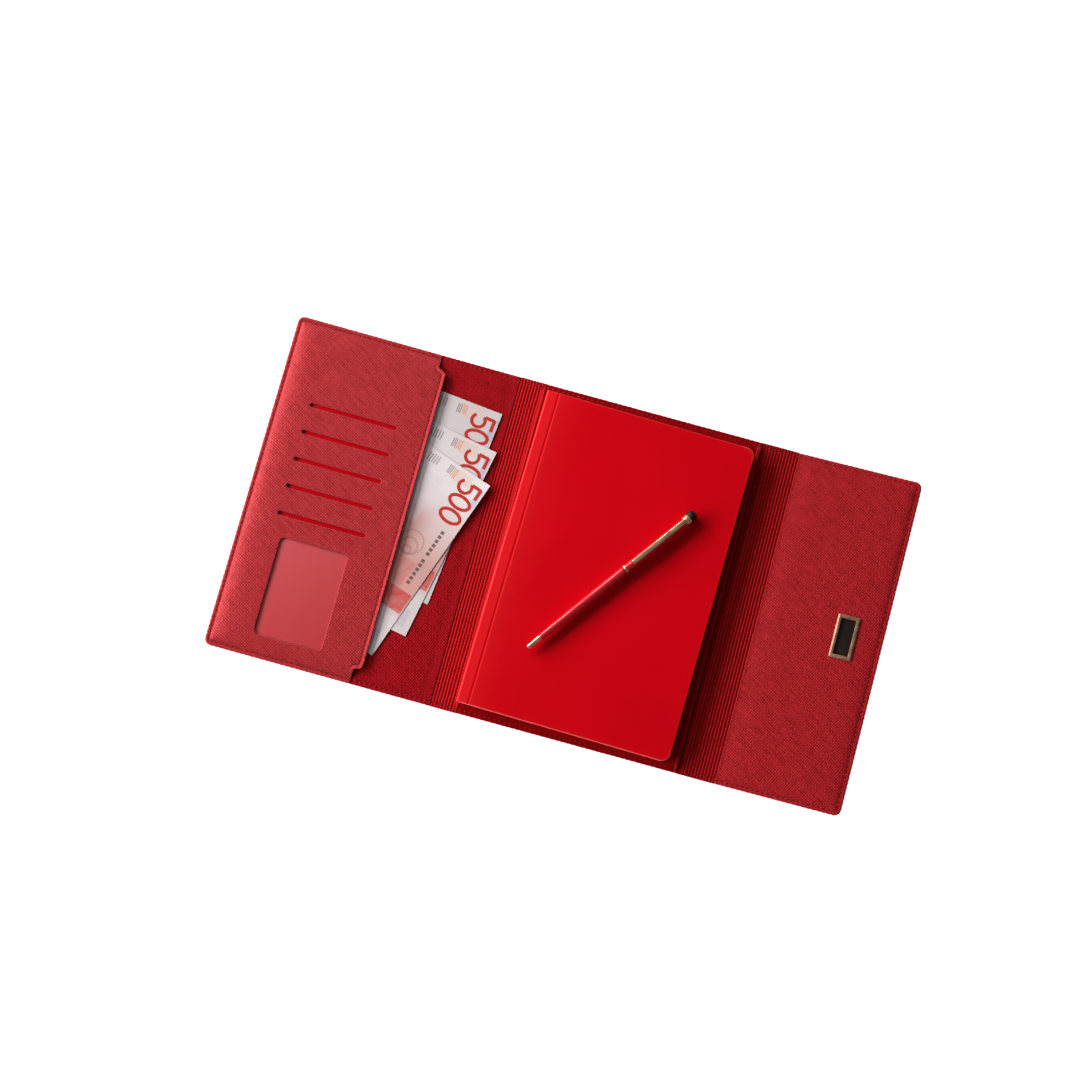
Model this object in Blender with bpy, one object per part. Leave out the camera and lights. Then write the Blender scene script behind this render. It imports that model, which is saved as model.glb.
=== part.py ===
"""Trifold travel organiser wallet with clasp, open flat, with its notebook, stylus pen and notes.

Frame: metres, +Z up.  X runs along the open wallet, from the card-pocket panel's free edge
(-X, left) to the clasp flap's free edge (+X, right).  Y runs up the panels.  The origin is on
the underside of the centre panel, in its middle.

The wallet is five stiffened leather panels in a row: left panel, left spine, centre panel,
right spine, flap.  They are joined by four soft creases that run along Y.

Every size is in millimetres.  Pieces are drawn in the flat wallet's coordinates, then moved
into the frame (an empty) that carries them.
"""
import math

import bmesh
import bpy
from mathutils import Matrix, Vector

for old in list(bpy.data.objects):
    bpy.data.objects.remove(old, do_unlink=True)

MM = 0.001

# ---------------------------------------------------------------- wallet dimensions
HALF_H = 111.0            # half the wallet's height along Y
CORNER_R = 4.5            # outer corner radius
CREASE_Z = 1.0            # height of every crease axis above the underside

X_FREE_LEFT = -239.5      # left panel's free edge
X_LEFT_OUTER = -96.5      # crease between left panel and left spine
X_LEFT_INNER = -76.2      # crease between left spine and centre panel
X_RIGHT_INNER = 73.8      # crease between centre panel and right spine
X_RIGHT_OUTER = 98.8      # crease between right spine and flap
X_FREE_RIGHT = 179.0      # flap's free edge

LEFT_TILT = 1.8           # degrees the left panel springs up when laid open
FLAP_TILT = 6.0           # degrees the flap springs up when laid open

PANEL_GAP = 1.5           # panel edge to crease axis
SPINE_GAP = 1.2           # spine edge to crease axis
CREASE_END_GAP = 0.3      # crease leather to the edge of the panel or spine beside it

LINING_INSET = 0.4        # wallet edge to lining edge
BOARD_INSET = 4.6         # wallet edge to board edge, which leaves room for the sewn rim
BOARD_CREASE_INSET = 0.6  # cover edge to board edge, beside a crease
BOARD_R = 2.0             # board's corner radius
GUSSET_INSET = 0.5        # wallet edge to gusset end

LINING_HALF_H = HALF_H - LINING_INSET
BOARD_HALF_H = HALF_H - BOARD_INSET
GUSSET_HALF_H = HALF_H - GUSSET_INSET

# layers shared by several panels, as (bottom z, top z)
OUTER = (0.0, 1.0)
CREASE = (0.15, 0.95)
BOARD = (1.15, 2.15)
LINING = (2.30, 2.80)

# frames of the notebook and the pen
BOOK_X, BOOK_Y, BOOK_TURN = -3.1, -0.4, -0.95
BOOK_CREASE = -62.3       # cover crease, from the notebook's middle
BOOK_CREASE_Z = 9.70
PEN_X, PEN_Y, PEN_Z, PEN_ANGLE = -39.88, -59.60, 13.3, 54.12


# ---------------------------------------------------------------- materials
def material(name, rgb, roughness, metallic=0.0, alpha=1.0):
    mat = bpy.data.materials.new(name)
    mat.use_nodes = True
    inputs = mat.node_tree.nodes["Principled BSDF"].inputs
    inputs["Base Color"].default_value = (*rgb, 1.0)
    inputs["Roughness"].default_value = roughness
    inputs["Metallic"].default_value = metallic
    inputs["Alpha"].default_value = alpha
    mat.diffuse_color = (*rgb, alpha)
    return mat


def metal(name, rgb, roughness):
    return material(name, rgb, roughness, metallic=1.0)


LEATHER = material("saffiano_leather", rgb=(0.42, 0.022, 0.035), roughness=0.5)
LINING_LEATHER = material("lining_leather", rgb=(0.36, 0.016, 0.028), roughness=0.55)
RIBBED = material("ribbed_gusset", rgb=(0.30, 0.010, 0.020), roughness=0.6)
POCKET_LEATHER = material("pocket_leather", rgb=(0.45, 0.025, 0.04), roughness=0.5)
SLOT_FABRIC = material("slot_lining", rgb=(0.42, 0.0, 0.008), roughness=0.7)
GREYBOARD = material("greyboard", rgb=(0.35, 0.33, 0.30), roughness=0.9)
CLEAR = material("window_film", rgb=(0.85, 0.6, 0.6), roughness=0.1, alpha=0.3)
BRONZE = metal("clasp_bronze", rgb=(0.50, 0.32, 0.20), roughness=0.3)
BLACK = material("magnet_black", rgb=(0.012, 0.010, 0.009), roughness=0.35)
STEEL = metal("steel_plate", rgb=(0.55, 0.55, 0.56), roughness=0.35)
COVER_RED = material("notebook_cover", rgb=(0.62, 0.0, 0.012), roughness=0.45)
PAPER = material("paper", rgb=(0.82, 0.79, 0.74), roughness=0.85)
NOTE_PAPER = material("banknote_paper", rgb=(0.68, 0.58, 0.54), roughness=0.75)
LACQUER = material("pen_lacquer", rgb=(0.50, 0.004, 0.010), roughness=0.2)
GOLD = metal("pen_gold", rgb=(0.72, 0.55, 0.32), roughness=0.22)
RUBBER = material("stylus_rubber", rgb=(0.012, 0.012, 0.012), roughness=0.6)
REFILL = metal("refill_metal", rgb=(0.60, 0.50, 0.30), roughness=0.35)


# ---------------------------------------------------------------- frames
DATUM = {}    # for each frame, the flat drawing's point that becomes its origin


def make_frame(name, place, datum=(0, 0, 0), parent=None, turn=(0, 0, 0)):
    """An empty at place in its parent, turned by the given degrees about X, Y and Z."""
    frame = bpy.data.objects.new(name, None)
    bpy.context.scene.collection.objects.link(frame)
    frame.empty_display_size = 0.01
    frame.parent = parent
    frame.location = Vector(place) * MM
    frame.rotation_euler = [math.radians(angle) for angle in turn]
    DATUM[frame] = Vector(datum)
    return frame


def outer_crease_frame(name, x, inner_x, spine, tilt):
    """A frame on an outer crease, carried by the spine that hinges at inner_x."""
    return make_frame(name, (x - inner_x, 0, 0), (x, 0, CREASE_Z), spine, (0, tilt, 0))


LEFT_HINGE = (X_LEFT_INNER, 0, CREASE_Z)
RIGHT_HINGE = (X_RIGHT_INNER, 0, CREASE_Z)
BOOK_HINGE = (BOOK_CREASE, 0, BOOK_CREASE_Z)

CENTRE = make_frame("frame_centre", (0, 0, 0))
SPINE_L = make_frame("axis_left_spine", LEFT_HINGE, LEFT_HINGE)
PANEL_L = outer_crease_frame("axis_left_panel", X_LEFT_OUTER, X_LEFT_INNER, SPINE_L, LEFT_TILT)
SPINE_R = make_frame("axis_right_spine", RIGHT_HINGE, RIGHT_HINGE)
FLAP = outer_crease_frame("axis_flap", X_RIGHT_OUTER, X_RIGHT_INNER, SPINE_R, -FLAP_TILT)
BOOK = make_frame("frame_notebook", (BOOK_X, BOOK_Y, 0), turn=(0, 0, BOOK_TURN))
BOOK_COVER = make_frame("axis_notebook_cover", BOOK_HINGE, BOOK_HINGE, BOOK)
# origin at the nose tip on the barrel's axis, local X towards the stylus tip, local Z up
PEN = make_frame("axis_pen", (PEN_X, PEN_Y, PEN_Z), turn=(0, 0, PEN_ANGLE))


# ---------------------------------------------------------------- outlines, counter-clockwise
def arc(cx, cy, radius, start, end, steps=5):
    angles = [math.radians(start + (end - start) * i / steps) for i in range(steps + 1)]
    return [(cx + radius * math.cos(a), cy + radius * math.sin(a)) for a in angles]


def circle(cx, cy, radius, sides=16):
    return arc(cx, cy, radius, 0, 360, sides)[:-1]


def rectangle(x0, x1, y0, y1, left_r=0.0, right_r=0.0, steps=5):
    """A rectangle with its own radius on the left and on the right corners."""
    points = []
    # corner x, y, radius, start angle, and the direction inwards along X and Y
    for x, y, radius, start, in_x, in_y in (
            (x1, y0, right_r, -90, -1, 1), (x1, y1, right_r, 0, -1, -1),
            (x0, y1, left_r, 90, 1, -1), (x0, y0, left_r, 180, 1, 1)):
        if radius > 0:
            points += arc(x + in_x * radius, y + in_y * radius, radius, start, start + 90, steps)
        else:
            points.append((x, y))
    return points


def strip(x0, x1, half_height, left_r=0.0, right_r=0.0):
    """A rectangle centred on the X axis."""
    return rectangle(x0, x1, -half_height, half_height, left_r, right_r)


def centred(centre, size, radius=0.0):
    """A rectangle of size (along X, along Y) about a centre."""
    (cx, cy), (width, height) = centre, size
    return rectangle(cx - width / 2, cx + width / 2, cy - height / 2, cy + height / 2,
                     radius, radius, steps=2)


def slot(x0, x1, y, width):
    """A round-ended slot along X."""
    radius = width / 2
    return arc(x1 - radius, y, radius, -90, 90, 8) + arc(x0 + radius, y, radius, 90, 270, 8)


def at_height(outline, z):
    return [(x, y, z) for x, y in outline]


# ---------------------------------------------------------------- solids
def add(name, bm, frame, mat, smooth_angle=None):
    """Puts a bmesh drawn in flat millimetres on its frame, as a named object in metres."""
    bmesh.ops.translate(bm, verts=bm.verts, vec=-DATUM[frame])
    bmesh.ops.scale(bm, verts=bm.verts, vec=(MM, MM, MM))
    bmesh.ops.recalc_face_normals(bm, faces=bm.faces)
    mesh = bpy.data.meshes.new(name)
    bm.to_mesh(mesh)
    bm.free()
    mesh.materials.append(mat)
    if smooth_angle is not None:
        mesh.shade_smooth()
        mesh.set_sharp_from_angle(angle=math.radians(smooth_angle))
    piece = bpy.data.objects.new(name, mesh)
    bpy.context.scene.collection.objects.link(piece)
    piece.parent = frame
    return piece


def thicken(bm, offset):
    """Extrudes every face of the bmesh by the offset."""
    made = bmesh.ops.extrude_face_region(bm, geom=list(bm.faces))["geom"]
    moved = [item for item in made if isinstance(item, bmesh.types.BMVert)]
    bmesh.ops.translate(bm, verts=moved, vec=offset)


def plate(name, frame, mat, layer, outline, holes=()):
    """A flat sheet with holes, filling a layer (bottom z, top z)."""
    bottom, top = layer
    bm = bmesh.new()
    edges = []
    for loop in (outline, *holes):
        verts = [bm.verts.new(point) for point in at_height(loop, bottom)]
        edges += [bm.edges.new(pair) for pair in zip(verts, verts[1:] + verts[:1])]
    if holes:
        bmesh.ops.triangle_fill(bm, use_beauty=True, edges=edges)
    else:
        bmesh.ops.contextual_create(bm, geom=edges)
    thicken(bm, (0, 0, top - bottom))
    return add(name, bm, frame, mat)


def extrusion(name, frame, mat, profile, half_length):
    """A cross-section in X and Z, run along Y to both sides of the X axis."""
    bm = bmesh.new()
    bm.faces.new([bm.verts.new((x, -half_length, z)) for x, z in profile])
    thicken(bm, (0, 2 * half_length, 0))
    return add(name, bm, frame, mat)


def loft(name, frame, mat, rings, closed=False, smooth_angle=None):
    """A skin over a row of rings.  A ring may be a single point.  A closed loft joins its last
    ring to its first; an open one is capped."""
    bm = bmesh.new()
    rings = [[bm.verts.new(point) for point in ring] for ring in rings]
    pairs = list(zip(rings, rings[1:]))
    if closed:
        pairs.append((rings[-1], rings[0]))
    else:
        for ring in (rings[0], rings[-1]):
            if len(ring) > 1:
                bm.faces.new(ring)
    for near, far in pairs:
        count = max(len(near), len(far))
        for k in range(count):
            j = (k + 1) % count
            if len(near) == 1:
                bm.faces.new((near[0], far[j], far[k]))
            elif len(far) == 1:
                bm.faces.new((near[k], near[j], far[0]))
            else:
                bm.faces.new((near[k], near[j], far[j], far[k]))
    return add(name, bm, frame, mat, smooth_angle)


def turned(name, mat, profile, bored=False, segments=32):
    """A piece of the pen turned about local X.  profile is (distance along X, radius); a bored
    one is a closed loop, and a solid one starts and ends on the axis."""
    angles = [2 * math.pi * k / segments for k in range(segments)]
    rings = [[(x, radius * math.cos(a), radius * math.sin(a)) for a in angles]
             if radius > 0 else [(x, 0, 0)] for x, radius in profile]
    return loft(name, PEN, mat, rings, closed=bored, smooth_angle=35)


def unite(target, modifier_name, guide):
    """Joins a guide solid to its target with a boolean, and hides the guide."""
    guide.hide_render = True
    guide.display_type = "WIRE"
    modifier = target.modifiers.new(modifier_name, "BOOLEAN")
    modifier.operation = "UNION"
    modifier.solver = "EXACT"
    modifier.object = guide


# ---------------------------------------------------------------- centre panel
SLEEVE_FROM = -24.6       # the notebook sleeve's free edge
SLEEVE = (2.95, 3.35)
SLEEVE_WELT_GAP = 0.3
WELT_X = (69.4, 72.3)
WELT_TOP_X = (69.9, 71.9)     # flat top between the welt's chamfers
WELT_BOTTOM_Z, WELT_SHOULDER_Z, WELT_TOP_Z = 2.95, 3.5, 3.90
WELT_INSET = 0.6          # wallet edge to welt end

left, right = X_LEFT_INNER + PANEL_GAP, X_RIGHT_INNER - PANEL_GAP
plate("centre_outer_cover", CENTRE, LEATHER, OUTER, strip(left, right, HALF_H))
plate("centre_board", CENTRE, GREYBOARD, BOARD,
      strip(left + BOARD_CREASE_INSET, right - BOARD_CREASE_INSET, BOARD_HALF_H))
plate("centre_lining", CENTRE, LINING_LEATHER, LINING, strip(left, right, LINING_HALF_H))
plate("notebook_sleeve", CENTRE, LINING_LEATHER, SLEEVE,
      strip(SLEEVE_FROM, WELT_X[0] - SLEEVE_WELT_GAP, LINING_HALF_H))
extrusion("sleeve_welt", CENTRE, LEATHER,
          [(WELT_X[0], WELT_BOTTOM_Z), (WELT_X[1], WELT_BOTTOM_Z), (WELT_X[1], WELT_SHOULDER_Z),
           (WELT_TOP_X[1], WELT_TOP_Z), (WELT_TOP_X[0], WELT_TOP_Z),
           (WELT_X[0], WELT_SHOULDER_Z)],
          HALF_H - WELT_INSET)

# ---------------------------------------------------------------- spines and ribbed gussets
RIB_TOP = 2.10
RIB_VALLEY = 1.60
GUSSET_BASE = 1.15
LEFT_RIB_PITCH = 1.978
LEFT_RIBS_FROM = -90.1    # the gusset is flat to the left of this
RIGHT_RIB_PITCH = 2.017
RIGHT_RIBS_TO = 97.0


def ribbed(x0, x1, lead_in, ribs_from, pitch, count):
    """A gusset's cross-section: a thin base under its valley points up to the first rib
    (lead_in), then one raised rib every pitch."""
    top = [(x, RIB_VALLEY) for x in lead_in]
    for k in range(count):
        start = ribs_from + k * pitch
        top += [(start + 0.25 * pitch, RIB_TOP), (start + 0.70 * pitch, RIB_TOP),
                (start + 0.95 * pitch, RIB_VALLEY)]
    top.append((x1, RIB_VALLEY))
    return [(x0, GUSSET_BASE), (x1, GUSSET_BASE)] + top[::-1]


# as many whole ribs as fit between the fixed end of the ribs and the spine's far edge
left, right = X_LEFT_OUTER + SPINE_GAP, X_LEFT_INNER - SPINE_GAP
rib_count = int((right - LEFT_RIBS_FROM) / LEFT_RIB_PITCH)
plate("left_spine_cover", SPINE_L, LEATHER, OUTER, strip(left, right, HALF_H))
extrusion("left_gusset", SPINE_L, RIBBED,
          ribbed(left, right, (left, LEFT_RIBS_FROM), LEFT_RIBS_FROM, LEFT_RIB_PITCH, rib_count),
          GUSSET_HALF_H)

left, right = X_RIGHT_INNER + SPINE_GAP, X_RIGHT_OUTER - SPINE_GAP
rib_count = int((RIGHT_RIBS_TO - left) / RIGHT_RIB_PITCH)
ribs_from = RIGHT_RIBS_TO - rib_count * RIGHT_RIB_PITCH
plate("right_spine_cover", SPINE_R, LEATHER, OUTER, strip(left, right, HALF_H))
extrusion("right_gusset", SPINE_R, RIBBED,
          ribbed(left, right, (left,), ribs_from, RIGHT_RIB_PITCH, rib_count), GUSSET_HALF_H)

# ---------------------------------------------------------------- soft creases
# the cover's leather between two panels: name, frame, axis x, gap on the left and on the right
for name, frame, x, left_gap, right_gap in (
        ("left_inner_crease", CENTRE, X_LEFT_INNER, SPINE_GAP, PANEL_GAP),
        ("left_outer_crease", SPINE_L, X_LEFT_OUTER, PANEL_GAP, SPINE_GAP),
        ("right_inner_crease", CENTRE, X_RIGHT_INNER, PANEL_GAP, SPINE_GAP),
        ("right_outer_crease", SPINE_R, X_RIGHT_OUTER, SPINE_GAP, PANEL_GAP)):
    plate(name, frame, LEATHER, CREASE,
          strip(x - left_gap + CREASE_END_GAP, x + right_gap - CREASE_END_GAP, HALF_H))

# ---------------------------------------------------------------- left panel and its pockets
LEFT_BOARD = (1.15, 1.95)
LEFT_LINING = (2.10, 2.50)
DIVIDER = (3.35, 3.55)
SLOT_LINING = (3.65, 3.85)
FILM = (3.95, 4.10)
POCKET = (4.20, 5.00)

POCKET_EDGE = -143.2      # pocket's free edge at its top and bottom ends
POCKET_LIP = -137.9       # pocket's free edge along its middle
LIP_HALF = 99.2           # half-length of the lip
LIP_R = 1.5
SLOT_X = (-216.7, -158.6)     # the top slot's ends
SLOT_TOP_Y = 55.6
SLOT_PITCH = 18.25
SLOT_COUNT = 5
SLOT_SHIFT = 0.09         # each slot sits this much further left than the one above
SLOT_W = 2.6
WINDOW = (-210.7, -166.3, -96.4, -32.0)   # x0, x1, y0, y1
WINDOW_R = 3.5
FILM_MARGIN = 4.0
FILM_R = 2.0

CLASP_Y = 0.8             # shared by the striker here and the clasp on the flap
STRIKER_X = -197.2        # lands in the bezel when the flap closes over the left panel
STRIKER = (STRIKER_X, CLASP_Y)
STRIKER_BOARD_HOLE = (10.6, 23.2)
WASHER = (9.0, 21.2)
WASHER_Z = (1.20, 1.60)
HARDWARE_R = 1.0          # corner radius of the steel plates and the striker's board hole
PEGS = [(STRIKER_X, CLASP_Y + offset) for offset in (-7.0, 7.0)]
PEG_R = 1.2
PEG_Z = (-0.5, 1.65)
# striker sections: width along X, length along Y, z
STRIKER_SECTIONS = ((8.0, 21.8, -1.90), (9.0, 22.8, -1.35), (9.0, 22.8, -0.15))


def pocket_outline():
    """Rounded at the free corners, with a lip that steps out along the pocket's mouth."""
    half_height = HALF_H - 0.4
    y = half_height - CORNER_R
    x = X_FREE_LEFT + 0.4 + CORNER_R
    mouth = [(POCKET_EDGE, -half_height), (POCKET_EDGE, -LIP_HALF - 3.4),
             (POCKET_EDGE + 1.2, -LIP_HALF - 1.9), (POCKET_LIP - 1.6, -LIP_HALF - 0.6)]
    mouth += arc(POCKET_LIP - LIP_R, -LIP_HALF + 0.9, LIP_R, -60, 0, 3)
    mouth += [(px, -py) for px, py in reversed(mouth)]
    return mouth + arc(x, y, CORNER_R, 90, 180) + arc(x, -y, CORNER_R, 180, 270)


def peg_holes(clearance):
    return [circle(x, y, PEG_R + clearance) for x, y in PEGS]


left, right = X_FREE_LEFT, X_LEFT_OUTER - PANEL_GAP
plate("left_outer_cover", PANEL_L, LEATHER, OUTER, strip(left, right, HALF_H, CORNER_R),
      peg_holes(0.15))
plate("left_board", PANEL_L, GREYBOARD, LEFT_BOARD,
      strip(left + BOARD_INSET, right - BOARD_CREASE_INSET, BOARD_HALF_H, BOARD_R),
      [centred(STRIKER, STRIKER_BOARD_HOLE, HARDWARE_R)])
plate("left_lining", PANEL_L, LINING_LEATHER, LEFT_LINING,
      strip(left + LINING_INSET, right, LINING_HALF_H, CORNER_R))
plate("pocket_divider", PANEL_L, SLOT_FABRIC, DIVIDER,
      strip(left + 0.6, POCKET_EDGE - 1.5, HALF_H - 0.8, CORNER_R))
plate("slot_lining", PANEL_L, SLOT_FABRIC, SLOT_LINING,
      rectangle(left + 8, POCKET_EDGE - 6, -HALF_H + 6, HALF_H - 34, 2, 2))
plate("id_window_film", PANEL_L, CLEAR, FILM,
      rectangle(WINDOW[0] - FILM_MARGIN, WINDOW[1] + FILM_MARGIN,
                WINDOW[2] - FILM_MARGIN, WINDOW[3] + FILM_MARGIN, FILM_R, FILM_R, steps=3))
card_slots = [slot(SLOT_X[0] - SLOT_SHIFT * i, SLOT_X[1] - SLOT_SHIFT * i,
                   SLOT_TOP_Y - SLOT_PITCH * i, SLOT_W) for i in range(SLOT_COUNT)]
plate("card_pocket_panel", PANEL_L, POCKET_LEATHER, POCKET, pocket_outline(),
      card_slots + [rectangle(*WINDOW, WINDOW_R, WINDOW_R)])

# the striker: a low block under the left panel, that the clasp's bezel drops over; its two
# pegs pass through the cover and are riveted on a washer plate above it
striker = loft("clasp_striker", PANEL_L, BRONZE,
               [at_height(centred(STRIKER, (width, length)), z)
                for width, length, z in STRIKER_SECTIONS])
for number, (x, y) in enumerate(PEGS, 1):
    peg = loft(f"striker_peg_guide_{number}", PANEL_L, BRONZE,
               [at_height(circle(x, y, PEG_R), z) for z in PEG_Z])
    unite(striker, f"peg_{number}", peg)
plate("striker_washer", PANEL_L, STEEL, WASHER_Z, centred(STRIKER, WASHER, HARDWARE_R),
      peg_holes(0.1))

# ---------------------------------------------------------------- flap and clasp
# sizes are (along X, along Y)
CLASP_X = 154.4
CLASP = (CLASP_X, CLASP_Y)
CLASP_BOARD_HOLE = (15.2, 28.4)
CLASP_LINING_HOLE = (12.2, 26.2)
BACKING = (14.4, 27.6)
BACKING_Z = (1.15, 1.50)
MAGNET = (10.0, 24.0)
MAGNET_R = 0.4
MAGNET_Z = (1.65, 2.40)
LEGS = [(CLASP_X + offset, CLASP_Y) for offset in (-5.65, 5.65)]
LEG = (0.6, 8.0)
LEG_SLOT = (0.9, 8.4)
LEG_Z = (1.20, 3.2)
BEZEL = (14.5, 28.6)
RECESS = (9.6, 23.6)
# the bezel's section, round from its outer foot: base size, amount added to both sides, z
BEZEL_RINGS = (
    (BEZEL, 0.0, 2.95), (BEZEL, 0.0, 3.45), (BEZEL, -1.6, 3.90), (RECESS, 0.8, 3.90),
    (RECESS, 0.0, 3.40), (RECESS, 0.0, 2.55), (RECESS, 1.2, 2.55), (RECESS, 1.2, 2.95))

left, right = X_RIGHT_OUTER + PANEL_GAP, X_FREE_RIGHT
plate("flap_outer_cover", FLAP, LEATHER, OUTER, strip(left, right, HALF_H, 0, CORNER_R))
plate("flap_board", FLAP, GREYBOARD, BOARD,
      strip(left + BOARD_CREASE_INSET, right - BOARD_INSET, BOARD_HALF_H, 0, BOARD_R),
      [centred(CLASP, CLASP_BOARD_HOLE)])
plate("flap_lining", FLAP, LINING_LEATHER, LINING,
      strip(left, right - LINING_INSET, LINING_HALF_H, 0, CORNER_R),
      [centred(CLASP, CLASP_LINING_HOLE)])
plate("clasp_backing_plate", FLAP, STEEL, BACKING_Z, centred(CLASP, BACKING, HARDWARE_R),
      [centred(centre, LEG_SLOT) for centre in LEGS])
plate("clasp_magnet", FLAP, BLACK, MAGNET_Z, centred(CLASP, MAGNET, MAGNET_R))

# the bezel: a bevelled picture frame whose inner walls run down towards the magnet, with two
# legs through the backing plate
bezel = loft("clasp_bezel", FLAP, BRONZE,
             [at_height(centred(CLASP, (width + extra, height + extra)), z)
              for (width, height), extra, z in BEZEL_RINGS], closed=True)
for number, centre in enumerate(LEGS, 1):
    leg = loft(f"bezel_leg_guide_{number}", FLAP, BRONZE,
               [at_height(centred(centre, LEG), z) for z in LEG_Z])
    unite(bezel, f"leg_{number}", leg)

# ---------------------------------------------------------------- notes in the pocket
NOTE = (70.0, 133.0)      # along X and Y, before it leans
# name, centre x, centre y, clockwise lean in degrees seen from above, layer
NOTES = (("banknote_back", -137.1, 20.9, 5.7, (2.62, 2.74)),
         ("banknote_middle", -139.2, -0.6, 10.7, (2.86, 2.98)),
         ("banknote_front", -145.6, -15.6, 19.1, (3.10, 3.22)))

for name, x, y, lean, layer in NOTES:
    turn = Matrix.Rotation(-math.radians(lean), 2)
    corners = [turn @ Vector(corner) + Vector((x, y)) for corner in centred((0, 0), NOTE)]
    plate(name, PANEL_L, NOTE_PAPER, layer, corners)

# ---------------------------------------------------------------- notebook
BOOK_HALF_W, BOOK_HALF_H = 70.0, 105.0
BOOK_R = 6.0
BOOK_BACK = (3.50, 3.95)
BOOK_PAGES = (4.10, 9.00)
BOOK_FRONT = (9.15, 9.60)
BOOK_SPINE_T = 0.5        # thickness of the spine's wall
BOOK_INSET = 0.8          # cover edge to page edge along X, and spine face to back cover
PAGE_END_INSET = 0.7      # cover edge to page edge along Y
BOOK_CREASE_GAP = 0.3     # crease axis to the covers on either side

left, right = -BOOK_HALF_W, BOOK_HALF_W
wall = left + BOOK_SPINE_T
fold = BOOK_CREASE - BOOK_CREASE_GAP
plate("notebook_back_cover", BOOK, COVER_RED, BOOK_BACK,
      strip(left + BOOK_INSET, right, BOOK_HALF_H, 0, BOOK_R))
plate("notebook_pages", BOOK, PAPER, BOOK_PAGES,
      strip(left + BOOK_INSET, right - BOOK_INSET, BOOK_HALF_H - PAGE_END_INSET,
            0, BOOK_R - 0.4))
extrusion("notebook_spine", BOOK, COVER_RED,
          [(left, BOOK_BACK[0]), (wall, BOOK_BACK[0]), (wall, BOOK_FRONT[0]),
           (fold, BOOK_FRONT[0]), (fold, BOOK_FRONT[1]), (left, BOOK_FRONT[1])], BOOK_HALF_H)
plate("notebook_front_cover", BOOK_COVER, COVER_RED, BOOK_FRONT,
      strip(BOOK_CREASE + BOOK_CREASE_GAP, right, BOOK_HALF_H, 0, BOOK_R))

# ---------------------------------------------------------------- pen
# profiles are (distance from the nose tip, radius)
NOSE_CONE = [(0.0, 0.60), (0.0, 1.15), (0.35, 1.32), (10.1, 1.95), (10.1, 1.42),
             (14.5, 1.42), (14.5, 1.28), (4.6, 1.28), (1.8, 0.60)]
LOWER_BARREL = [(10.4, 1.60), (10.4, 1.95), (24.0, 2.30), (45.0, 2.58), (79.3, 2.70),
                (79.3, 1.60)]
CENTRE_RING = [(79.6, 1.62), (79.6, 2.85), (79.9, 3.10), (80.7, 3.10), (81.0, 2.85),
               (81.0, 1.62)]
UPPER_BARREL = [(81.3, 1.80), (81.3, 2.70), (100.0, 2.66), (128.2, 2.55), (128.2, 1.80)]
TWIST = [(70.0, 1.25), (70.0, 1.46), (81.4, 1.46), (81.4, 1.66), (97.0, 1.66), (97.0, 1.25)]
FERRULE = [(122.0, 0.0), (122.0, 1.62), (129.2, 1.62), (129.2, 3.00), (129.5, 3.15),
           (132.9, 3.15), (133.2, 3.00), (133.2, 0.0)]
DOME_X, DOME_R = 134.8, 3.5   # centre and radius of the stylus dome
STYLUS = [(133.45, 0.0), (133.45, 2.95), (133.9, 3.38), (DOME_X, DOME_R)]
STYLUS += [(DOME_X + DOME_R * math.sin(math.radians(a)), DOME_R * math.cos(math.radians(a)))
           for a in (20, 40, 58, 74)]
STYLUS += [(DOME_X + DOME_R, 0.0)]
REFILL_TUBE = [(1.0, 0.0), (1.0, 0.22), (1.4, 0.45), (5.0, 0.45), (7.2, 1.08), (84.0, 1.08),
               (84.0, 0.0)]
CLIP_RING = [(128.4, 1.80), (128.4, 2.60), (129.0, 2.60), (129.0, 1.80)]
# the clip's strap from the side: distance from the nose tip, height above the pen's axis
STRAP = [(128.95, 2.20), (128.95, 3.12), (126.0, 3.40), (89.5, 3.40), (88.0, 3.24),
         (86.7, 3.36), (86.5, 3.10), (88.0, 2.86), (90.0, 2.98), (125.4, 2.98),
         (128.45, 2.72), (128.45, 2.20)]
STRAP_HALF_W = 1.4

turned("pen_nose_cone", GOLD, NOSE_CONE, bored=True)
turned("pen_lower_barrel", LACQUER, LOWER_BARREL, bored=True)
turned("pen_centre_ring", GOLD, CENTRE_RING, bored=True)
turned("pen_upper_barrel", LACQUER, UPPER_BARREL, bored=True)
turned("pen_twist_mechanism", REFILL, TWIST, bored=True)
turned("pen_ferrule", GOLD, FERRULE)
turned("pen_stylus_tip", RUBBER, STYLUS)
turned("pen_refill", REFILL, REFILL_TUBE)
clip = turned("pen_clip", GOLD, CLIP_RING, bored=True)
# the spring strap runs from the clip's ring towards the nose, and kinks in at its end
strap = loft("clip_strap_guide", PEN, GOLD,
             [[(x, y, z) for x, z in STRAP] for y in (-STRAP_HALF_W, STRAP_HALF_W)])
unite(clip, "strap", strap)
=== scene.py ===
"""Looks for a trifold travel organiser wallet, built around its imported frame.

The wallet lies open with its inside up. X runs across it: the panel with the card pocket at -X,
the centre with notebook and pen, the flap with the clasp at +X. Y runs along the creases and Z
is up. Pieces are drawn in flat millimetres, as on a cutting table, and then laid in the rest
pose: the left panel springs up a little about its crease, and the flap a little more about its
own.
"""

import math
from collections import namedtuple

import bmesh
import bpy
import numpy as np
from mathutils import Matrix, Vector
from mathutils.geometry import delaunay_2d_cdt


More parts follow.
